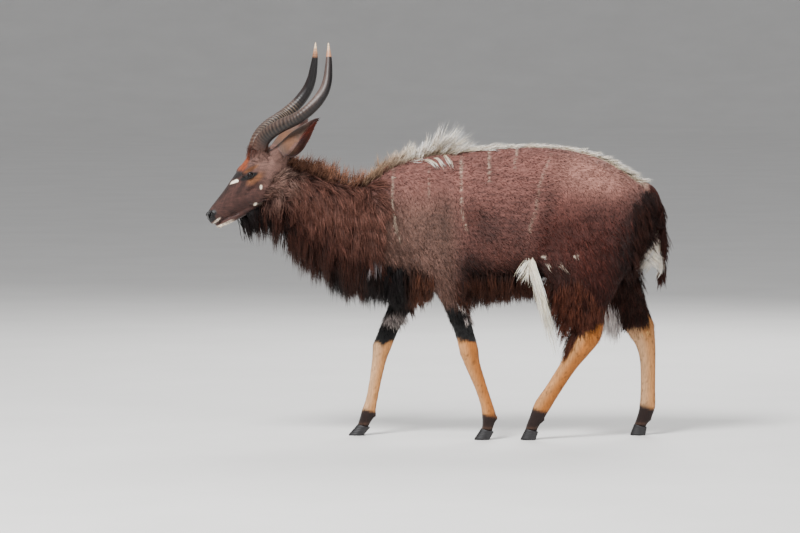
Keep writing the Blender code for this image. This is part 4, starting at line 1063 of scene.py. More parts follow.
def part_of(p):
    """The name of the part that each place belongs to, for the bake's map."""
    fore, left = p.x <= 0.27, p.y < 0
    low_fore = fore & (p.z < 0.56)
    low_hind = ~fore & (ahead_of(HAUNCH_LINE, p.x, p.z) > 0)
    made = np.full(len(p.x), "torso", "U16")
    made[low_hind & left] = "hind_left"
    made[low_hind & ~left] = "hind_right"
    made[low_fore & left] = "fore_left"
    made[low_fore & ~left] = "fore_right"
    made[p.on_tail & (p.z > 0.62) & (p.z < 0.95)] = "tail"
    made[(ahead_of(NECK_LINE, p.x, p.z) > 0) & (p.z > 0.56)] = "neck"
    made[ahead_of(HEAD_LINE, p.x, p.z) > 0] = "head"
    for side, up in p.ears.items():
        inside = p.normals @ sided(EAR_OPENING, side) > 0
        made[(up > 0) & inside] = "ear_cup_" + HAND[side]
        made[(up > 0) & ~inside] = "ear_back_" + HAND[side]
    return made


def around(points, name):
    """The angle round a part, and the share along it, of points."""
    p = Places(points)
    if name.startswith("ear"):
        side = LEFT if name.endswith("left") else RIGHT
        axis = sided(EAR_AXIS, side)
        away = points - head_side(EAR_ROOT, side)
        across = unit(np.cross(axis, sided(EAR_OPENING, side)))
        return np.clip(away @ across / 0.06, -1, 1) * np.pi, away @ axis / 0.21
    if name == "head":
        return np.arctan2(p.y, p.h), (p.s + 0.03) / 0.42
    if name == "neck":
        return np.arctan2(p.y, p.above_axis), (p.x + 0.66) / 0.42
    if name == "tail":
        return np.arctan2(p.y, p.x - 0.835), (p.z - 0.6) / 0.36
    if name == "torso":
        return np.arctan2(p.y, p.z - 0.82), (p.x + 0.36) / 1.19
    rows, side = LEGS[name]
    middle, off = leg_axis(rows, p.z)
    return np.arctan2(p.y - off * side, p.x - middle), p.z / 0.93


def bake_place(points, parts, near=None):
    """Places on the bake's map, with the angle kept within half a turn of near's."""
    made = np.zeros((len(points), 2))
    for name in np.unique(parts):
        rows = parts == name
        angle, along = around(points[rows], name)
        if near is not None:
            middle, _ = around(near[rows], name)
            angle = middle + (angle - middle + np.pi) % (2 * np.pi) - np.pi
        u0, v0, u1, v1 = UNWRAP[name]
        made[rows, 0] = u0 + (u1 - u0) * (angle / (2 * np.pi) + 0.5)
        made[rows, 1] = v0 + (v1 - v0) * along
    return np.clip(made, 0.001, 0.999)


# The coat

class Skin:
    """The straight skin as arrays, to root the coat on."""

    def __init__(self, found):
        self.points = coordinates(found)
        self.normals = read(found.data.vertex_normals, "vector", 3).astype(float)
        found.data.calc_loop_triangles()
        self.faces = read(found.data.loop_triangles, "vertices", 3, np.int32)
        a, b, c = (self.points[self.faces[:, k]] for k in range(3))
        square = np.cross(b - a, c - a)
        self.areas = np.linalg.norm(square, axis=1) / 2
        self.middles = Places((a + b + c) / 3, unit(square))
        self.tree = BVHTree.FromPolygons(self.points.tolist(), self.faces.tolist())

    def scatter(self, share, count):
        """So many random places, as dense as share(places) says."""
        weights = self.areas * np.clip(share(self.middles), 0, None)
        picked = rng.choice(len(weights), count, p=weights / weights.sum())
        r, t = np.sqrt(rng.random(count)), rng.random(count)
        shares = np.stack((1 - r, r * (1 - t), r * t), 1)
        corners = self.faces[picked]
        places = np.einsum("nk,nkd->nd", shares, self.points[corners])
        return Places(places, unit(np.einsum("nk,nkd->nd", shares, self.normals[corners])))

    def nearest(self, points):
        """The nearest places of the skin."""
        found = [self.tree.find_nearest(p) for p in points.tolist()]
        return Places(np.array([f[0] for f in found]), np.array([f[1] for f in found]))


def told(value, places):
    """A value, or what a function says of places."""
    return value(places) if callable(value) else value


def ways(p, x, y, z, out=0.0):
    """Ways with parts along x, y and z, each one number or one for each place, led out of the skin."""
    return unit(np.stack(np.broadcast_arrays(x, y, z, p.x)[:3], 1) + p.normals * out)


def slot_of(name):
    """A slot name for a piece of hair, by its name."""
    if name.startswith(("mane", "beard", "tail_dark")):
        return "mane"
    if name.startswith(("crest", "fringe_thigh", "tail_white")):
        return "white_hair"
    return "coat"


def strands(name, paths, outward, width, thickness, colours, tips, roots, shape):
    """Closed three-sided hairs along paths, in pieces that are not too large."""
    count, rings, _ = paths.shape
    ahead = np.concatenate((paths[:, 1:], paths[:, -1:]), 1)
    behind = np.concatenate((paths[:, :1], paths[:, :-1]), 1)
    along = unit(ahead - behind)
    across = unit(np.cross(along, outward) + 1e-6)
    out = np.cross(across, along)
    half = (width[:, None] * shape(np.linspace(0, 1, rings))[None])[..., None] / 2
    corners = np.stack((paths + across * half, paths + out * half * thickness * 2, paths - across * half), 2)
    points = np.concatenate((corners[:, :-1].reshape(count, -1, 3), paths[:, -1:]), 1)
    size = points.shape[1]
    last = 3 * (rings - 2)
    faces = [(0, 2, 1)]
    for k in range(rings - 2):
        for j in range(3):
            a, b = 3 * k + j, 3 * k + (j + 1) % 3
            faces += [(a, b, b + 3), (a, b + 3, a + 3)]
    faces += [(last + j, last + (j + 1) % 3, size - 1) for j in range(3)]
    ring_of = np.append(np.repeat(np.arange(rings - 1), 3), rings - 1) / (rings - 1)
    blend = ring_of[None, :, None]
    colour = colours[:, None] * (1 - blend) + tips[:, None] * blend
    patch = np.stack((np.append(np.tile((-1, 0, 1), rings - 1), 0) * PATCH / 2, (ring_of - 0.5) * PATCH), 1)
    where = bake_place(roots.points, part_of(roots))[:, None] + patch[None]
    per_piece = MOST_TRIANGLES // len(faces)
    for start in range(0, count, per_piece):
        rows = slice(start, start + per_piece)
        first = np.arange(len(points[rows])) * size
        corner = (np.array(faces)[None] + first[:, None, None]).reshape(-1, 3)
        found = mesh_of(f"{name}_{start // per_piece + 1}", turned(points[rows].reshape(-1, 3)), corner)
        set_colours(found, colour[rows].reshape(-1, 3))
        set_map(found, np.clip(where[rows].reshape(-1, 2)[corner.ravel()], 0, 1))
        place_piece(found, slot_of(name), "hair")


def blade(t):
    """The width of a short hair along it."""
    return np.where(t < 1, 1 - 0.25 * t, 0)


def ribbon(t):
    """The width of a long hair along it: narrow at its root, then tapering."""
    return 0.55 + 1.1 * t - 1.35 * t * t


def short_coat(skin, name, count, share, length, width, lift, rings, vary):
    """Short tufts that lie along the skin and lift off it a little."""
    roots = skin.scatter(share, count)
    normals = roots.normals
    way = unit(lie(roots) + 0.11 * rng.normal(size=normals.shape))
    way = along_skin(way, normals)
    reach = told(length, roots) * rng.uniform(0.7, 1.2, count)
    raised = lift * rng.uniform(0.5, 1.5, count)
    t = np.linspace(0, 1, rings)
    rise = np.sin(raised)[:, None] * (t * (1 - 0.35 * t))[None]
    paths = (roots.points - normals * 0.0012)[:, None] + way[:, None] * (reach[:, None] * t)[..., None]
    paths += normals[:, None] * (reach[:, None] * rise)[..., None]
    outward = np.repeat(normals[:, None], rings, 1)
    colours = markings(roots) * rng.uniform(1 - vary, 1 + 0.7 * vary, count)[:, None]
    tips = np.clip(colours * rng.uniform(1.0, 1 + 1.2 * vary, count)[:, None], 0, 1)
    tips = tips * (1 + 1.6 * vary * (rng.random(count) < 0.15))[:, None]
    strands(name, paths, outward, width * rng.uniform(0.7, 1.3, count), 0.22,
            colours * (1 - 0.5 * vary), tips, roots, blade)


def long_hair(skin, name, share, guides, children, length, way, lift, weight, spread, width,
              colour, rings=4, clump=0.7, wave=0.004, stiff=0.0, stray=0.12):
    """Locks of long hair. Each guide follows the skin, sinks and hangs; its hairs gather round it.

    Length, way and colour are functions of places, or the same for all of them.
    """
    roots = skin.scatter(share, guides)
    points, normals = roots.points, roots.normals
    heading = way(roots) if callable(way) else ways(roots, *way, 0.25)
    heading = unit(heading + stray * rng.normal(size=heading.shape))
    reach = told(length, roots) * rng.uniform(0.8, 1.15, guides)
    path, facing = [points], [normals]
    place = points
    for k in range(1, rings):
        heading = unit(heading + DOWN * weight)
        place = place + heading * (reach / (rings - 1))[:, None]
        near = skin.nearest(place)
        away = place - near.points
        short = lift * (k / (rings - 1)) ** 0.6 - np.sum(away * near.normals, 1)
        pushed = ((short > 0) & (np.linalg.norm(away, axis=1) < 0.06))[:, None]
        place = np.where(pushed, place + near.normals * short[:, None] * (1 - stiff), place)
        path.append(place)
        facing.append(unit(near.normals + normals))
    path, facing = np.stack(path, 1), np.stack(facing, 1)
    total = guides * children
    owner = np.repeat(np.arange(guides), children)
    off = rng.normal(size=(total, 3)) * spread
    off -= normals[owner] * np.sum(off * normals[owner], 1)[:, None]
    near = skin.nearest(points[owner] + off)
    t = np.linspace(0, 1, rings)
    gather = (1 - clump * t ** 0.8)[None, :, None]
    paths = path[owner] + (near.points - points[owner])[:, None] * gather
    scale = rng.uniform(0.72, 1.06, total)[:, None, None]
    paths = paths[:, :1] + (paths - paths[:, :1]) * scale
    phase = rng.uniform(0, 6.28, (total, 1))
    swing = np.sin(t[None] * rng.uniform(3, 7, (total, 1)) + phase) - np.sin(phase)
    sideways = unit(np.cross(heading[owner], near.normals) + 1e-6)
    paths += sideways[:, None] * (swing * wave * t[None])[..., None]
    paths += (rng.normal(size=(total, 3)) * wave)[:, None] * (t ** 1.5)[None, :, None]
    paths[:, 0] -= near.normals * 0.003
    tone = rng.uniform(0.50, 1.40, total)[:, None] * rng.uniform(0.75, 1.20, guides)[owner][:, None]
    root_colour, tip_colour = told(colour, near)
    strands(name, paths, facing[owner], width * rng.uniform(0.6, 1.25, total), 0.25,
            root_colour * tone, np.clip(tip_colour * tone, 0, 1), near, ribbon)


# Materials

class Material:
    """A material built from nodes. A value that is an output is linked, and any other is set."""

    def __init__(self, name, **values):
        self.made = bpy.data.materials.new(name)
        self.made.use_nodes = True
        self.tree = self.made.node_tree
        self.set(self.tree.nodes["Principled BSDF"], values)

    def set(self, node, values):
        for name, value in values.items():
            socket = node.inputs[name.replace("_", " ") if isinstance(name, str) else name]
            if hasattr(value, "is_output"):
                self.tree.links.new(value, socket)
            else:
                socket.default_value = value

    def shade(self, **values):
        self.set(self.tree.nodes["Principled BSDF"], values)

    def node(self, kind, values, **settings):
        made = self.tree.nodes.new("ShaderNode" + kind)
        for name, value in settings.items():
            setattr(made, name, value)
        self.set(made, values)
        return made

    def attribute(self, name, output="Fac"):
        return self.node("Attribute", {}, attribute_name=name).outputs[output]

    def mix(self, kind, share, a, b):
        return self.node("Mix", {0: share, 6: a, 7: b}, data_type="RGBA", blend_type=kind).outputs[2]

    def place(self, stretch):
        vector = self.node("TexCoord", {}).outputs["Object"]
        return self.node("Mapping", {"Vector": vector, "Scale": stretch}).outputs["Vector"]

    def noise(self, scale, detail, stretch=(1, 1, 1), rough=0.6):
        values = {"Vector": self.place(stretch), "Scale": scale, "Detail": detail, "Roughness": rough}
        return self.node("TexNoise", values).outputs["Fac"]

    def ramp(self, source, *stops):
        """Colours, or greys, at places from 0 to 1."""
        made = self.node("ValToRGB", {"Fac": source})
        elements = made.color_ramp.elements
        while len(elements) < len(stops):
            elements.new(0.5)
        for element, (place, colour) in zip(elements, stops):
            element.position = place
            element.color = (*(colour * np.ones(3)), 1)
        return made.outputs["Color"]

    def range(self, source, low, high):
        return self.node("MapRange", {"Value": source, "To Min": low, "To Max": high}).outputs["Result"]

    def bump(self, height, strength, distance):
        values = {"Height": height, "Strength": strength, "Distance": distance}
        self.shade(Normal=self.node("Bump", values).outputs["Normal"])


def fur_material():
    """The skin's own short fur, which is glossy where the skin is bare."""
    fur = Material("short_fur", Specular_IOR_Level=0.25, Sheen_Weight=0.12, Sheen_Roughness=0.5)
    colour, upright = fur.attribute("coat_colour", "Color"), fur.attribute("upright")
    along = fur.noise(90.0, 4.0, (0.35, 2.2, 2.2), 0.7)
    down = fur.noise(90.0, 4.0, (2.2, 2.2, 0.35), 0.7)
    hairs = fur.mix("MIX", upright, along, down)
    shade = fur.ramp(hairs, (0.25, 0.55), (0.75, (1.25, 1.22, 1.2)))
    patch = fur.ramp(fur.noise(9.0, 3.0), (0.3, 0.86), (0.7, 1.1))
    tinted = fur.mix("MULTIPLY", 1.0, colour, shade)
    fur.shade(Base_Color=fur.mix("MULTIPLY", 1.0, tinted, patch),
              Roughness=fur.range(fur.attribute("bare"), 0.8, 0.32))
    fur.bump(hairs, 0.7, 0.0025)
    return fur.made


def hair_material():
    hair = Material("hair", Roughness=0.55, Specular_IOR_Level=0.18)
    colour = hair.attribute("coat_colour", "Color")
    streak = hair.ramp(hair.noise(220.0, 2.0), (0.3, 0.78), (0.7, 1.18))
    hair.shade(Base_Color=hair.mix("MULTIPLY", 1.0, colour, streak))
    return hair.made


def horn_material():
    """Dark ridged horn with painted shade in its grooves and painted highlights on their crests, worn to
    ivory at the tip.
    """
    sheath = Material("horn_sheath", Specular_IOR_Level=0.4)
    tone = sheath.attribute("coat_colour", "Color")
    grain = sheath.noise(60.0, 6.0, (1.0, 1.0, 0.18), 0.65)
    fine = sheath.noise(400.0, 3.0, (1.0, 1.0, 0.15), 0.6)
    shade = sheath.ramp(grain, (0.25, (0.62, 0.60, 0.58)), (0.75, (1.35, 1.3, 1.25)))
    sheath.shade(Base_Color=sheath.mix("MULTIPLY", 1.0, tone, shade),
                 Roughness=sheath.range(grain, 0.30, 0.62))
    sheath.bump(sheath.mix("MIX", 0.4, grain, fine), 0.5, 0.0015)
    return sheath.made


def hoof_material():
    wall = Material("hoof_horn", Roughness=0.5)
    rings = wall.noise(45.0, 4.0, (0.3, 0.3, 3.0), 0.6)
    grain = wall.noise(300.0, 4.0, (1.0, 1.0, 0.3), 0.6)
    wall.shade(Base_Color=wall.ramp(rings, (0.3, linear("08080b")), (0.7, linear("1d1a1c"))))
    wall.bump(wall.mix("MIX", 0.5, rings, grain), 0.5, 0.001)
    return wall.made


def eye_material():
    """A dark brown iris with a wide pupil across it, under a clear wet coat."""
    eye = Material("eyeball", Roughness=0.14, Specular_IOR_Level=0.20, Coat_Weight=0.12, Coat_Roughness=0.06)
    far = eye.node("VectorMath", {0: eye.place((0.55, 0.0, 1.0))}, operation="LENGTH").outputs["Value"]
    scaled = eye.node("Math", {0: far, 1: 80.0}, operation="MULTIPLY").outputs["Value"]
    iris = eye.ramp(scaled, (0.26, np.array((0.002, 0.002, 0.003))), (0.34, linear("160a06")),
                    (0.80, linear("0b0504")), (0.95, linear("050303")))
    fibres = eye.ramp(eye.noise(500.0, 4.0, (1.0, 0.1, 1.0), 0.7), (0.3, 0.7), (0.7, 1.5))
    eye.shade(Base_Color=eye.mix("MULTIPLY", 1.0, iris, fibres))
    return eye.made


def floor_material():
    floor = Material("studio_floor", Roughness=0.9)
    tone = floor.ramp(floor.noise(1.5, 3.0), (0.3, (0.66, 0.65, 0.63)), (0.7, (0.70, 0.69, 0.67)))
    floor.shade(Base_Color=tone)
    return floor.made


MATERIALS = {"skin": fur_material(), "hair": hair_material(), "horn": horn_material(),
             "hoof": hoof_material(), "eye": eye_material()}


# Pieces that stay apart from the skin

FLESH_NODES = (
    "head", "neck", "torso", "tail", "ear_left", "ear_right",
    "foreleg_left_upper", "foreleg_left_lower", "foreleg_right_upper", "foreleg_right_lower",
    "hindleg_left_upper", "hindleg_left_lower", "hindleg_right_upper", "hindleg_right_lower",
)
CORNEA = 0.0115
# How dark the upper half of each horn is: both are smoky, and the far horn's extra darkness is painted shade
HORN_SMOKE_AND_SHADE = {LEFT: 0.40, RIGHT: 1.0}


def place_piece(found, slot, material_name, *nodes):
    found.data.materials.clear()
    found.data.materials.append(MATERIALS[material_name])
    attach(found, "root")
    if nodes:
        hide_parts(*nodes)


def horn(side):
    """A horn in one open turn, with a keel, rings on its lower half and a worn tip."""
    rows = smooth_rows(HORN[1:], 16)
    places = np.stack((rows[:, 0], rows[:, 1] * side, rows[:, 2]), 1)
    count, sides = len(rows), 56
    front = np.array((-1.0, 0.0, 0.0))
    angle = 2 * np.pi * np.arange(sides) / sides
    draw = np.random.default_rng(40 + side)
    rings, colours = [], []
    for i in range(count):
        along = unit(places[min(i + 1, count - 1)] - places[max(i - 1, 0)])
        if i == 0:
            along = unit(sided(HORN[1][:3], side) - sided(HORN[0][:3], side))
        front = unit(front - along * (front @ along))
        across = np.cross(along, front)
        share = i / (count - 1)
        turn = angle - (side * HORN_TWIST * share + math.pi * 0.9)
        bulge = 1 + 0.13 * np.maximum(0, np.cos(turn)) ** 5 + 0.07 * np.maximum(0, np.cos(turn + 2.3)) ** 5
        phase = 2 * np.pi * HORN_RIDGES * share / 0.62 + 0.9 * np.cos(angle)
        crest = (0.5 + 0.5 * np.cos(phase)) ** 1.8
        ringed = fade(share, 0.42, 0.66)
        outward = front * np.cos(angle)[:, None] + across * np.sin(angle)[:, None]
        ridged = 0.12 + 0.88 * np.clip(np.maximum(-outward[:, 0], -side * outward[:, 1]), 0, 1)
        ridge = 0.0018 * crest * ringed * ridged
        flutes = 0.00022 * np.cos(angle * 13 + 3 * np.sin(share * 9)) * (1 - share)
        radius = rows[i, 3] * bulge * 0.985 + ridge - 0.0009 * ringed + flutes
        rings.append(places[i] + outward * radius[:, None])
        # Painted light: a lighter sheen on the side facing up and forward, over a dark underside of painted
        # shade.
        lit = ramp(outward @ unit(np.array((-0.45, side * 0.10, 0.85))), 0.05, 1.0)
        inner = ramp(-side * outward[:, 1], -0.5, 0.5)
        worn = share + 0.008 * draw.normal()
        all_round = np.ones(sides)
        colours.append(layered(
            linear("140d0d"),
            (layered(linear("43342f"), (linear("65544f"), ramp(share, 0.35, 0.6) * all_round)), lit),
            # painted highlights on the crests of the rings
            (linear("8a7866"), (0.20 + 0.50 * inner) * crest * ringed * ridged),
            # painted shade in the grooves between the rings
            (linear("0c0707"), (0.50 + 0.40 * inner) * (1 - crest) * ringed * ridged),
            (linear("4a2a1d"), 0.5 * fade(share, 0.02, 0.16) * all_round),
            # smoky upper half, darker on the far horn as painted shade
            (linear("0c090c"), 0.85 * between(share, 0.52, 0.93, 0.06) * HORN_SMOKE_AND_SHADE[side] * all_round),
            (linear("a87a5e"), ramp(worn, 0.895, 0.925) * all_round),
            (linear("e2caa8"), ramp(worn, 0.930, 0.985) * all_round),
        ))
    found = loft("horn_sheath_" + HAND[side], rings)
    found.data.shade_smooth()
    set_colours(found, np.concatenate(colours))
    move_points(found, turned(coordinates(found)))
    place_piece(found, "horn", "horn", "horn_" + HAND[side])


def eyeball(side):
    """An eye with a raised cornea, made round its own middle and looking along y."""
    made = bmesh.new()
    bmesh.ops.create_uvsphere(made, u_segments=48, v_segments=32, radius=EYE_RADIUS)
    for vert in made.verts:
        off = math.hypot(vert.co.x, vert.co.z)
        if vert.co.y * side > 0 and off < CORNEA:
            vert.co.y += side * 0.0016 * (1 - (off / CORNEA) ** 2)
    found = from_bmesh("eyeball_" + HAND[side], made)
    found.data.shade_smooth()
    found.location = Vector(turned(head_side(EYE, side)[None])[0])
    tilt = Matrix.Rotation(HEAD_TURN, 3, "Z") @ Matrix.Rotation(-HEAD_SLOPE * 0.7, 3, "Y")
    found.rotation_euler = tilt.to_euler()
    place_piece(found, "eye", "eye", "eye_" + HAND[side])


def lid_rim(side):
    """The dark edge of the lids, a thin ring round the opening."""
    line = np.array(almond(side, EYE_RADIUS + 0.0026, 48))
    centre = head_side(EYE, side)
    angle = 2 * np.pi * np.arange(10) / 10
    rings = []
    for i, place in enumerate(line):
        along = unit(line[(i + 1) % len(line)] - line[i - 1])
        out = unit(place - centre)
        across = np.cross(along, out)
        thick = 0.0019 if place @ HEAD_UP > centre @ HEAD_UP else 0.0014
        rings.append(place + (out * np.cos(angle)[:, None] * 0.8 + across * np.sin(angle)[:, None]) * thick)
    found = loft("lid_" + HAND[side], rings, True)
    found.data.shade_smooth()
    points = coordinates(found)
    set_colours(found, np.tile(linear("120c0b"), (len(points), 1)))
    set_number(found, "bare", np.full(len(points), 0.8))
    move_points(found, turned(points))
    place_piece(found, "skin", "skin")


def hoof(name, toe):
    """One toe, with a rounded wall, growth rings and a flat sole."""
    rows, side = LEGS[name]
    above = next(row for row in rows if row[2] < 0.06)
    x, y = above[0], side * above[1] + toe * TOE_APART
    top = np.array(section(0.0125, 0.024, 0.022, 1.8, 2.2, 48))
    sole = np.array(section(0.0140, 0.0285, 0.0275, 1.5, 2.3, 48))
    rings = []
    for share in (0.0, 0.03, 0.10, *np.linspace(0.16, 0.94, 22), 0.985, 1.0):
        wall = ramp(share, 0.0, 1.0) * 0.25 + share * 0.75
        across, ahead = sole * (1 - wall) + top * wall
        swell = 1 + 0.022 * math.sin(share * 40) * (0.1 < share < 0.9)
        swell *= 0.955 if share == 0 else (0.93 if share == 1 else 1)
        middle = SOLES[name] + (x - SOLES[name]) * share
        coronet = CORONET - 0.0005 + CORONET_SLOPE * ahead * swell
        rings.append(np.stack((middle - ahead * swell, y + across * swell, coronet * share), 1))
    toe_name = f"hoof_{name}_{'outer' if toe == side else 'inner'}"
    found = loft("horn_" + toe_name, rings)
    found.data.shade_smooth()
    place_piece(found, "hoof", "hoof", toe_name)


def finish_skin(found, skin):
    """Colours the skin, gives it the bake's map and bends it."""
    p = Places(skin.points, skin.normals)
    set_colours(found, markings(p))
    lips, _ = from_polyline(p.s, p.h, MOUTH)
    set_number(found, "bare", np.maximum(nose_pad(p), 0.7 * fade(lips, 0.002, 0.005)) * p.head)
    way = lie(p)
    set_number(found, "upright", ramp(np.abs(way[:, 2]) - np.abs(way[:, 0]), -0.25, 0.25))
    faces = found.data.polygons
    totals = read(faces, "loop_total", 1, np.int32)
    centres, ways = (read(faces, name, 3).astype(float) for name in ("center", "normal"))
    corners = p.points[read(found.data.loops, "vertex_index", 1, np.int32)]
    parts = np.repeat(part_of(Places(centres, ways)), totals)
    set_map(found, bake_place(corners, parts, np.repeat(centres, totals, 0)))
    move_points(found, turned(p.points))
    found.data.shade_smooth()
    place_piece(found, "coat", "skin", *FLESH_NODES)


# Where the coat grows, and how

def face_share(p):
    """Where short tufts may grow on the head and ears: not on the nose or the lids."""
    clear = ramp(np.hypot(p.s - EYE[0], p.h - EYE[2]), 0.017, 0.022) + (p.side < 0.03)
    return p.head * np.clip(clear, 0, 1) * (1 - nose_pad(p)) * ramp(p.s, -0.005, 0.02)


def body_share(p):
    low = p.leg * fade(p.z, 0.36, 0.46)
    return (1 - p.head) * (1 - low) * (1 - 0.6 * p.neck)


def shank_share(p):
    return p.leg * fade(p.z, 0.36, 0.46) * ramp(p.z, 0.042, 0.05)


def body_length(p):
    thigh = ramp(p.x, 0.42, 0.52) * fade(p.z, 0.50, 0.62)
    chest = fade(p.x, -0.25, -0.10) * fade(p.z, 0.70, 0.95)
    return 0.013 + 0.008 * thigh + 0.007 * chest + 0.004 * fade(p.z, 0.6, 0.8)


def shaggy_share(p):
    """Where the coat is rougher: the thighs, the chest and low on the flanks."""
    thigh = ramp(p.x, 0.40, 0.52) * fade(p.z, 0.62, 0.88)
    thigh = thigh * (1 - spot(p.x, p.z, (0.45, 0.675), (0.085, 0.045), 0.3))
    chest = fade(p.x, -0.25, -0.05) * fade(p.z, 0.72, 0.95)
    low = 0.7 * fade(p.z, 0.60, 0.72)
    return body_share(p) * np.maximum(np.maximum(thigh, chest), low) * ramp(p.z, 0.42, 0.48)


def make_coat(skin):
    short_coat(skin, "coat_body", 80_000, body_share, body_length, 0.0030, 0.32, 2, 0.55)
    short_coat(skin, "coat_shaggy", 10_000, shaggy_share, 0.036, 0.0030, 0.30, 3, 0.40)
    short_coat(skin, "coat_shanks", 10_000, shank_share, 0.011, 0.0026, 0.10, 2, 0.14)
    short_coat(skin, "coat_face", 16_000, face_share, 0.0085, 0.0020, 0.16, 2, 0.46)
    grow = partial(long_hair, skin)
    for hair in (neck_hair, head_hair, crest_hair, fringes, thigh_hair, tail_hair):
        hair(grow)


def tints(*codes):
    """The colours of the roots and the tips of hair."""
    return [linear(code) for code in codes]


def neck_hair(grow):
    def mane_share(p):
        return ramp(p.behind, -0.020, -0.004) * ramp(p.x, -0.20, -0.27) \
            * ramp(-p.above_parting, -0.022, -0.004) * ramp(p.z, 0.54, 0.58)

    def mane_colours(p):
        dark = fade(p.above_axis, -0.12, 0.06)
        grey = fade(p.behind, 0.01, 0.08) * (1 - dark)
        tip = layered(linear("744c40"), (linear("3f1f17"), dark), (linear("80665b"), grey),
                      (BLACK, 0.85 * throat_patch(p)))
        return markings(p) * 0.6, tip

    def throat_colours(p):
        black = throat_patch(p)
        black_tips = np.maximum(black, between(p.x, -0.285, -0.10, 0.015) * (p.z < 0.70))
        tip = layered(linear("40231a"), (linear("120a08"), black_tips))
        return layered(linear("1c0c08"), (BLACK, black)), tip

    grow("mane_neck", mane_share, 1050, 17, lambda p: 0.040 + 0.068 * ramp(p.behind, 0, 0.13),
         lambda p: unit(lie(p) + p.normals * 0.20), 0.010, 0.10, 0.012, 0.0031, mane_colours)
    grow("mane_throat", lambda p: mane_share(p) * fade(p.above_axis, -0.11, -0.06), 300, 15, 0.135,
         (0.15, 0, -1.0), 0.004, 0.45, 0.011, 0.0034, throat_colours)
    grow("mane_jaw", lambda p: spot(p.x, p.z, (-0.612, 0.900), (0.040, 0.036)) * ramp(p.side, 0.02, 0.03),
         44, 9, 0.070, lambda p: ways(p, 0.30, 0, -1.0, 0.7),
         0.004, 0.25, 0.012, 0.0031, mane_colours)


def head_hair(grow):
    """The beard, the upright hair of the nape, and the short hair round the horns."""
    def beard_share(p):
        under = fade(p.h + 0.33 * p.s, -0.034, -0.018) * ramp(p.normals[:, 2], -0.1, -0.5)
        return between(p.s, 0.100, 0.180, 0.012) * under * fade(p.side, 0.02, 0.035)

    def nape_share(p):
        on_top = fade(p.side, 0.016, 0.032) * ramp(p.normals[:, 2], 0.3, 0.6) * (p.z > 0.9)
        return between(p.x, -0.590, -0.265, 0.01) * on_top

    def nape_length(p):
        return rng.uniform(0.4, 1.1, len(p.x)) * (0.050 + 0.030 * ramp(p.x, -0.54, -0.48))

    def horn_share(p):
        near = 0
        for side in (LEFT, RIGHT):
            low, base = (sided(HORN[k][:3], side) for k in (0, 1))
            along = unit(base - low)
            off = p.points - base
            height = off @ along
            away = np.linalg.norm(off - height[:, None] * along, axis=1)
            near = np.maximum(near, between(away, 0.024, 0.040, 0.003) * (np.abs(height) < 0.045))
        return near * ramp(p.normals[:, 2], -0.3, 0.0) * (p.side < 0.075)

    def up_the_horn(p):
        x, _, z = unit(np.subtract(HORN[1], HORN[0])[:3])
        return ways(p, x, 0, z, 0.12)

    grow("beard", beard_share, 60, 14, lambda p: rng.uniform(0.06, 0.115, len(p.x)), (0.40, 0, -1.0),
         0.002, 0.3, 0.007, 0.0040, (BLACK, linear("180c0a")))
    grow("mane_nape", nape_share, 190, 11, nape_length, lambda p: ways(p, 0.28, p.y * 8, 1.0),
         0.0, 0.0, 0.009, 0.0022, tints("1c0d0a", "9a6c55"), clump=0.80, wave=0.006, stiff=1.0)
    grow("hair_horn_base", horn_share, 130, 7, lambda p: rng.uniform(0.016, 0.026, len(p.x)),
         up_the_horn, 0.001, 0.0, 0.004, 0.0019, lambda p: (markings(p) * 0.7, markings(p) * 1.1),
         clump=0.3, stiff=1.0)


def crest_hair(grow):
    def on_ridge(p, low, high, half):
        return between(p.x, low, high, 0.008) * fade(p.side, half, half + 0.012) * (p.z > 0.9)

    def rising(p):
        x, y, z = 0.20 * rng.normal(size=p.points.shape).T
        x += 0.50 + 0.45 * ramp(p.x, -0.06, 0.02)
        z += 1.05 - 0.45 * ramp(p.x, 0.01, 0.07)
        return ways(p, x, y + p.y * 12, z)

    def drooping_share(p):
        return between(p.x, -0.06, 0.05, 0.01) * between(p.side, 0.014, 0.034, 0.004) * (p.z > 1.0)

    def withers_length(p):
        return (0.058 + 0.060 * between(p.x, -0.05, 0.035, 0.03)) * rng.uniform(0.45, 1.25, len(p.x))

    def withers_colours(p):
        pale = ramp(p.x, -0.22, -0.06)
        return layered(linear("4a2f24"), (linear("967c5c"), pale)), layered(linear("a98b70"), (SNOW, pale))

    white = linear("b49a74"), SNOW
    grow("crest_withers", lambda p: on_ridge(p, -0.275, 0.080, 0.022), 260, 14, withers_length, rising,
         0.0, 0.035, 0.011, 0.0024, withers_colours, clump=0.80, wave=0.006, stiff=0.6)
    grow("crest_back", lambda p: on_ridge(p, 0.05, 0.755, 0.010), 280, 12,
         lambda p: 0.080 - 0.032 * ramp(p.x, 0.1, 0.4),
         lambda p: ways(p, 1.0, p.y * 7, 0.16 - 0.16 * ramp(p.x, 0.08, 0.30)),
         0.004, 0.03, 0.007, 0.0023, white)
    grow("crest_droop", drooping_share, 15, 14, 0.092, lambda p: ways(p, 0.9, np.sign(p.y), -0.1),
         0.008, 0.25, 0.005, 0.0028, white, clump=0.85)


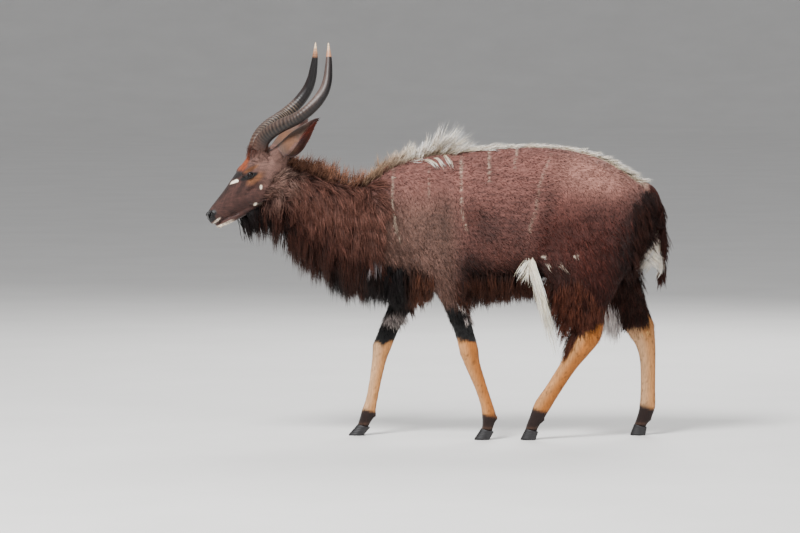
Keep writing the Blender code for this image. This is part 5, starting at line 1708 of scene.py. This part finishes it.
def fringes(grow):
    """The fringes of the belly, the chest, the elbows and the knees."""
    dark = tints("180b08", "452518")

    def belly_share(p):
        low = between(p.z, 0.53, 0.62, 0.02)
        return between(p.x, 0.10, 0.375, 0.015) * low * fade(p.normals[:, 2], -0.3, 0.1)

    def chest_share(p):
        return between(p.x, -0.285, -0.03, 0.02) * fade(p.z, 0.625, 0.665) * (1 - np.clip(p.leg, 0, 1)) \
            * ramp(p.normals[:, 2], 0.3, 0.0)

    def chest_colours(p):
        brown = np.maximum(ramp(p.x, -0.14, -0.07), fade(p.x, -0.30, -0.27))
        return layered(BLACK, (linear("1c0d09"), brown)), layered(linear("120b0b"), (linear("5e3828"), brown))

    def pale_chest_share(p):
        return spot(p.x, p.z, (-0.234, 0.686), (0.015, 0.020), 0.4) * (p.side > 0.03)

    def fanning(p):
        return ways(p, (p.x + 0.228) * 24, 0, -1, 0.5)

    def elbow_share(p):
        made = 0
        for name in ("fore_left", "fore_right"):
            rows, side = LEGS[name]
            behind = ramp(p.x - leg_axis(rows, p.z)[0], 0.012, 0.03)
            made = made + behind * (p.y * side > 0.04) * between(p.z, 0.48, 0.62, 0.02) * (p.x < 0.25)
        return made

    def knee_share(p):
        near, far = (p.x - leg_axis(LEGS[name][0], p.z)[0] for name in ("fore_left", "fore_right"))
        near = ramp(near, 0.010, 0.026) * between(p.z, 0.445, 0.515, 0.01) * (p.y < 0) * (p.x > -0.05)
        far = spot(far, p.z, (-0.002, 0.455), (0.040, 0.022)) * (p.x < -0.05)
        return 0.35 * near * (p.x < 0.25) + far

    grow("fringe_belly", belly_share, 230, 13, 0.090, (0.12, 0, -1.0), 0.003, 0.45, 0.012, 0.0034, dark)
    grow("fringe_chest", chest_share, 200, 13, lambda p: 0.100 - 0.035 * ramp(p.x, -0.14, -0.02),
         (0.12, 0, -1.0), 0.003, 0.45, 0.012, 0.0034, chest_colours)
    grow("fringe_pale_chest", pale_chest_share, 16, 7, 0.100, fanning,
         0.016, 0.3, 0.005, 0.0020, tints("2a2224", "9a8f90"))
    grow("fringe_elbow", elbow_share, 80, 12, 0.058, (0.35, 0, -1.0), 0.003, 0.3, 0.009, 0.0032, dark)
    grow("fringe_knee", knee_share, 30, 11, 0.046, (0.25, 0, -1.0), 0.004, 0.2, 0.007, 0.0024,
         tints("4a4040", "b3a8a2"))


def thigh_hair(grow):
    left_edge = ((0.400, 0.585), (0.426, 0.532), (0.474, 0.457), (0.498, 0.400))
    right_edge = ((0.575, 0.585), (0.600, 0.530), (0.645, 0.450))
    cream = linear("efdec6"), linear("fff0d6", 1.3)

    def front_share(p):
        away, _ = from_polyline(p.x, p.z, left_edge)
        return fade(away, 0.016, 0.028) * (p.y * LEFT > 0.05) * (p.x > 0.3)

    def inner_share(p):
        """The inner side of the right thigh."""
        away, _ = from_polyline(p.x, p.z, right_edge)
        return fade(away, 0.032, 0.044) * (p.y > 0.005) * ramp(-p.normals[:, 1], -0.1, 0.3) * (p.x > 0.3)

    def fold_share(p):
        return spot(p.x, p.z, (0.344, 0.658), (0.0085, 0.022), 0.4) * (p.side > 0.05)

    def trailing(p):
        """Down and a little back, the upper hairs more to the front."""
        back = 0.35 + 0.04 * rng.normal(size=len(p.x)) - 2.0 * (p.z - 0.658)
        return ways(p, back, 0, -1, 0.18)

    def hem_share(p):
        left = between(hem_line("hind_left", p.x, p.z), 0.035, 0.26, 0.015) * (p.y < 0)
        right = between(hem_line("hind_right", p.x, p.z), 0.035, 0.20, 0.015) * (p.y > 0)
        return (left * fade(p.x + p.z, 1.11, 1.14) + right) * ramp(p.x, 0.40, 0.44) * (p.z < 0.66)

    def hem_colours(p):
        black = ramp(p.x, 0.60, 0.68) * 0.8
        return layered(linear("1f0d08"), (BLACK, black)), layered(linear("5a2f20"), (linear("1c0e0a"), black))

    def rear_share(p):
        return ramp(p.x + 0.15 * (0.9 - p.z), 0.72, 0.79) * between(p.z, 0.53, 0.92, 0.03) * (p.side > 0.02)

    def under_tail(p):
        middle = fade(p.side, 0.03, 0.06) * (p.x < 0.80)
        return ramp(p.x, 0.735, 0.765) * between(p.z, 0.72, 0.93, 0.02) * middle

    grow("fringe_thigh", fold_share, 90, 13, lambda p: rng.uniform(0.13, 0.32, len(p.x)), trailing,
         0.008, 0.05, 0.004, 0.0026, cream, rings=6, clump=0.6, stray=0.03)
    grow("fringe_thigh_front", fold_share, 16, 9, 0.090, (-0.45, 0, -1.0),
         0.012, 0.06, 0.008, 0.0021, cream, clump=0.3, stray=0.30)
    grow("trousers_front", front_share, 120, 12, 0.110, (-0.50, 0, -1.0),
         0.004, 0.30, 0.008, 0.0032, tints("1f0d08", "5a2f20"))
    grow("fringe_far_thigh", inner_share, 120, 14, 0.115, (0.12, 0, -1.0),
         0.006, 0.25, 0.009, 0.0028, tints("5e5454", "e0d6d2"))
    grow("trousers", hem_share, 430, 13, 0.064, (0.02, 0, -1.0), 0.005, 0.30, 0.010, 0.0034, hem_colours)
    grow("trousers_tail", under_tail, 90, 13, 0.100, (0.34, 0, -1.0),
         0.002, 0.04, 0.010, 0.0036, (BLACK, linear("2a140f")))
    grow("trousers_rear", rear_share, 190, 12, 0.085, (0.30, 0, -1.0),
         0.004, 0.20, 0.011, 0.0034, (BLACK, linear("3a1d14")))


def tail_hair(grow):
    def dock_share(p, low, high, way):
        on = (p.x > 0.80) & (p.side < 0.04)
        return on * between(p.z, low, high, 0.01) * ramp(p.normals[:, 0] * way, -0.5, 0.2)

    grow("tail_dark", lambda p: np.maximum(dock_share(p, 0.62, 0.93, 1), dock_share(p, 0.75, 0.93, -1)),
         200, 14, 0.095, lambda p: ways(p, 0.08, p.y * 6, -1.0),
         0.004, 0.10, 0.014, 0.0034, tints("1a0b08", "40211a"))
    grow("tail_front", lambda p: dock_share(p, 0.80, 0.92, -1), 80, 13,
         0.100, lambda p: ways(p, -0.34, p.y * 6, -1.0),
         0.004, 0.06, 0.010, 0.0036, tints("1a0b08", "341913"))
    grow("tail_white", lambda p: dock_share(p, 0.705, 0.785, -1) * (p.y < 0), 150, 14,
         0.110, (-0.78, -0.10, -1.0), 0.010, 0.02, 0.008, 0.0034,
         (linear("c8b29c"), linear("fff0dc", 1.3)), clump=0.45, stray=0.06)


# Stage

SKY = (0.86, 0.87, 0.90, 1)
# Each light's name, place, power and size
LIGHTS = (
    ("key", (-2.6, -4.6, 6.4), 1250, 2.4),
    ("fill", (4.5, -5.5, 2.6), 160, 4.0),
    ("rim", (1.5, 5.0, 4.5), 420, 3.5),
)
LIT = (0, 0, 0.7)
CAMERA_TARGET = (-0.1425, 0, 0.643)
CAMERA_DISTANCE = 16.0
CAMERA_RISE = math.radians(3.3)
FRAME_WIDTH = 3.0


def make_floor():
    """A pale floor that curves up far off, so that no horizon shows."""
    made = bmesh.new()
    profile = [(40.0, 0.0)]
    profile += [(40 + 20 * math.sin(a), 30 - 30 * math.cos(a)) for a in np.linspace(0.1, math.pi / 2, 12)]
    turns = np.linspace(0, 2 * math.pi, 64, False)
    rings = [[made.verts.new((r * math.cos(a), r * math.sin(a), h)) for a in turns] for r, h in profile]
    made.faces.new(rings[0])
    for low, high in zip(rings, rings[1:]):
        for k in range(64):
            made.faces.new((low[k], low[k - 1], high[k - 1], high[k]))
    floor = from_bmesh("floor", made)
    floor.data.shade_smooth()
    floor.data.materials.append(floor_material())


def aim(found, place, target):
    """Sets a light or the camera at a place, looking at a target."""
    found.location = place
    found.rotation_euler = (Vector(target) - found.location).to_track_quat("-Z", "Y").to_euler()
    bpy.context.scene.collection.objects.link(found)


def make_light():
    world = bpy.data.worlds.new("studio")
    world.use_nodes = True
    sky = world.node_tree.nodes["Background"].inputs
    sky["Color"].default_value = SKY
    sky["Strength"].default_value = 0.62
    bpy.context.scene.world = world
    for name, place, power, size in LIGHTS:
        light = bpy.data.lights.new(name, "AREA")
        light.energy = power
        light.size = size
        aim(bpy.data.objects.new(name, light), place, LIT)


def make_camera():
    """Square to the animal's side and a little above it, from far off."""
    made = bpy.data.cameras.new("camera")
    made.sensor_width = 36.0
    made.lens = made.sensor_width * CAMERA_DISTANCE / FRAME_WIDTH
    made.clip_end = 200
    found = bpy.data.objects.new("camera", made)
    away = Vector((0, -math.cos(CAMERA_RISE), math.sin(CAMERA_RISE)))
    aim(found, Vector(CAMERA_TARGET) + away * CAMERA_DISTANCE, CAMERA_TARGET)
    bpy.context.scene.camera = found


def main():
    make_camera()
    make_floor()
    make_light()
    body = make_skin()
    skin = Skin(body)
    finish_skin(body, skin)
    make_coat(skin)
    for side in (LEFT, RIGHT):
        horn(side)
        eyeball(side)
        lid_rim(side)
    for name in LEGS:
        for toe in (LEFT, RIGHT):
            hoof(name, toe)


main()
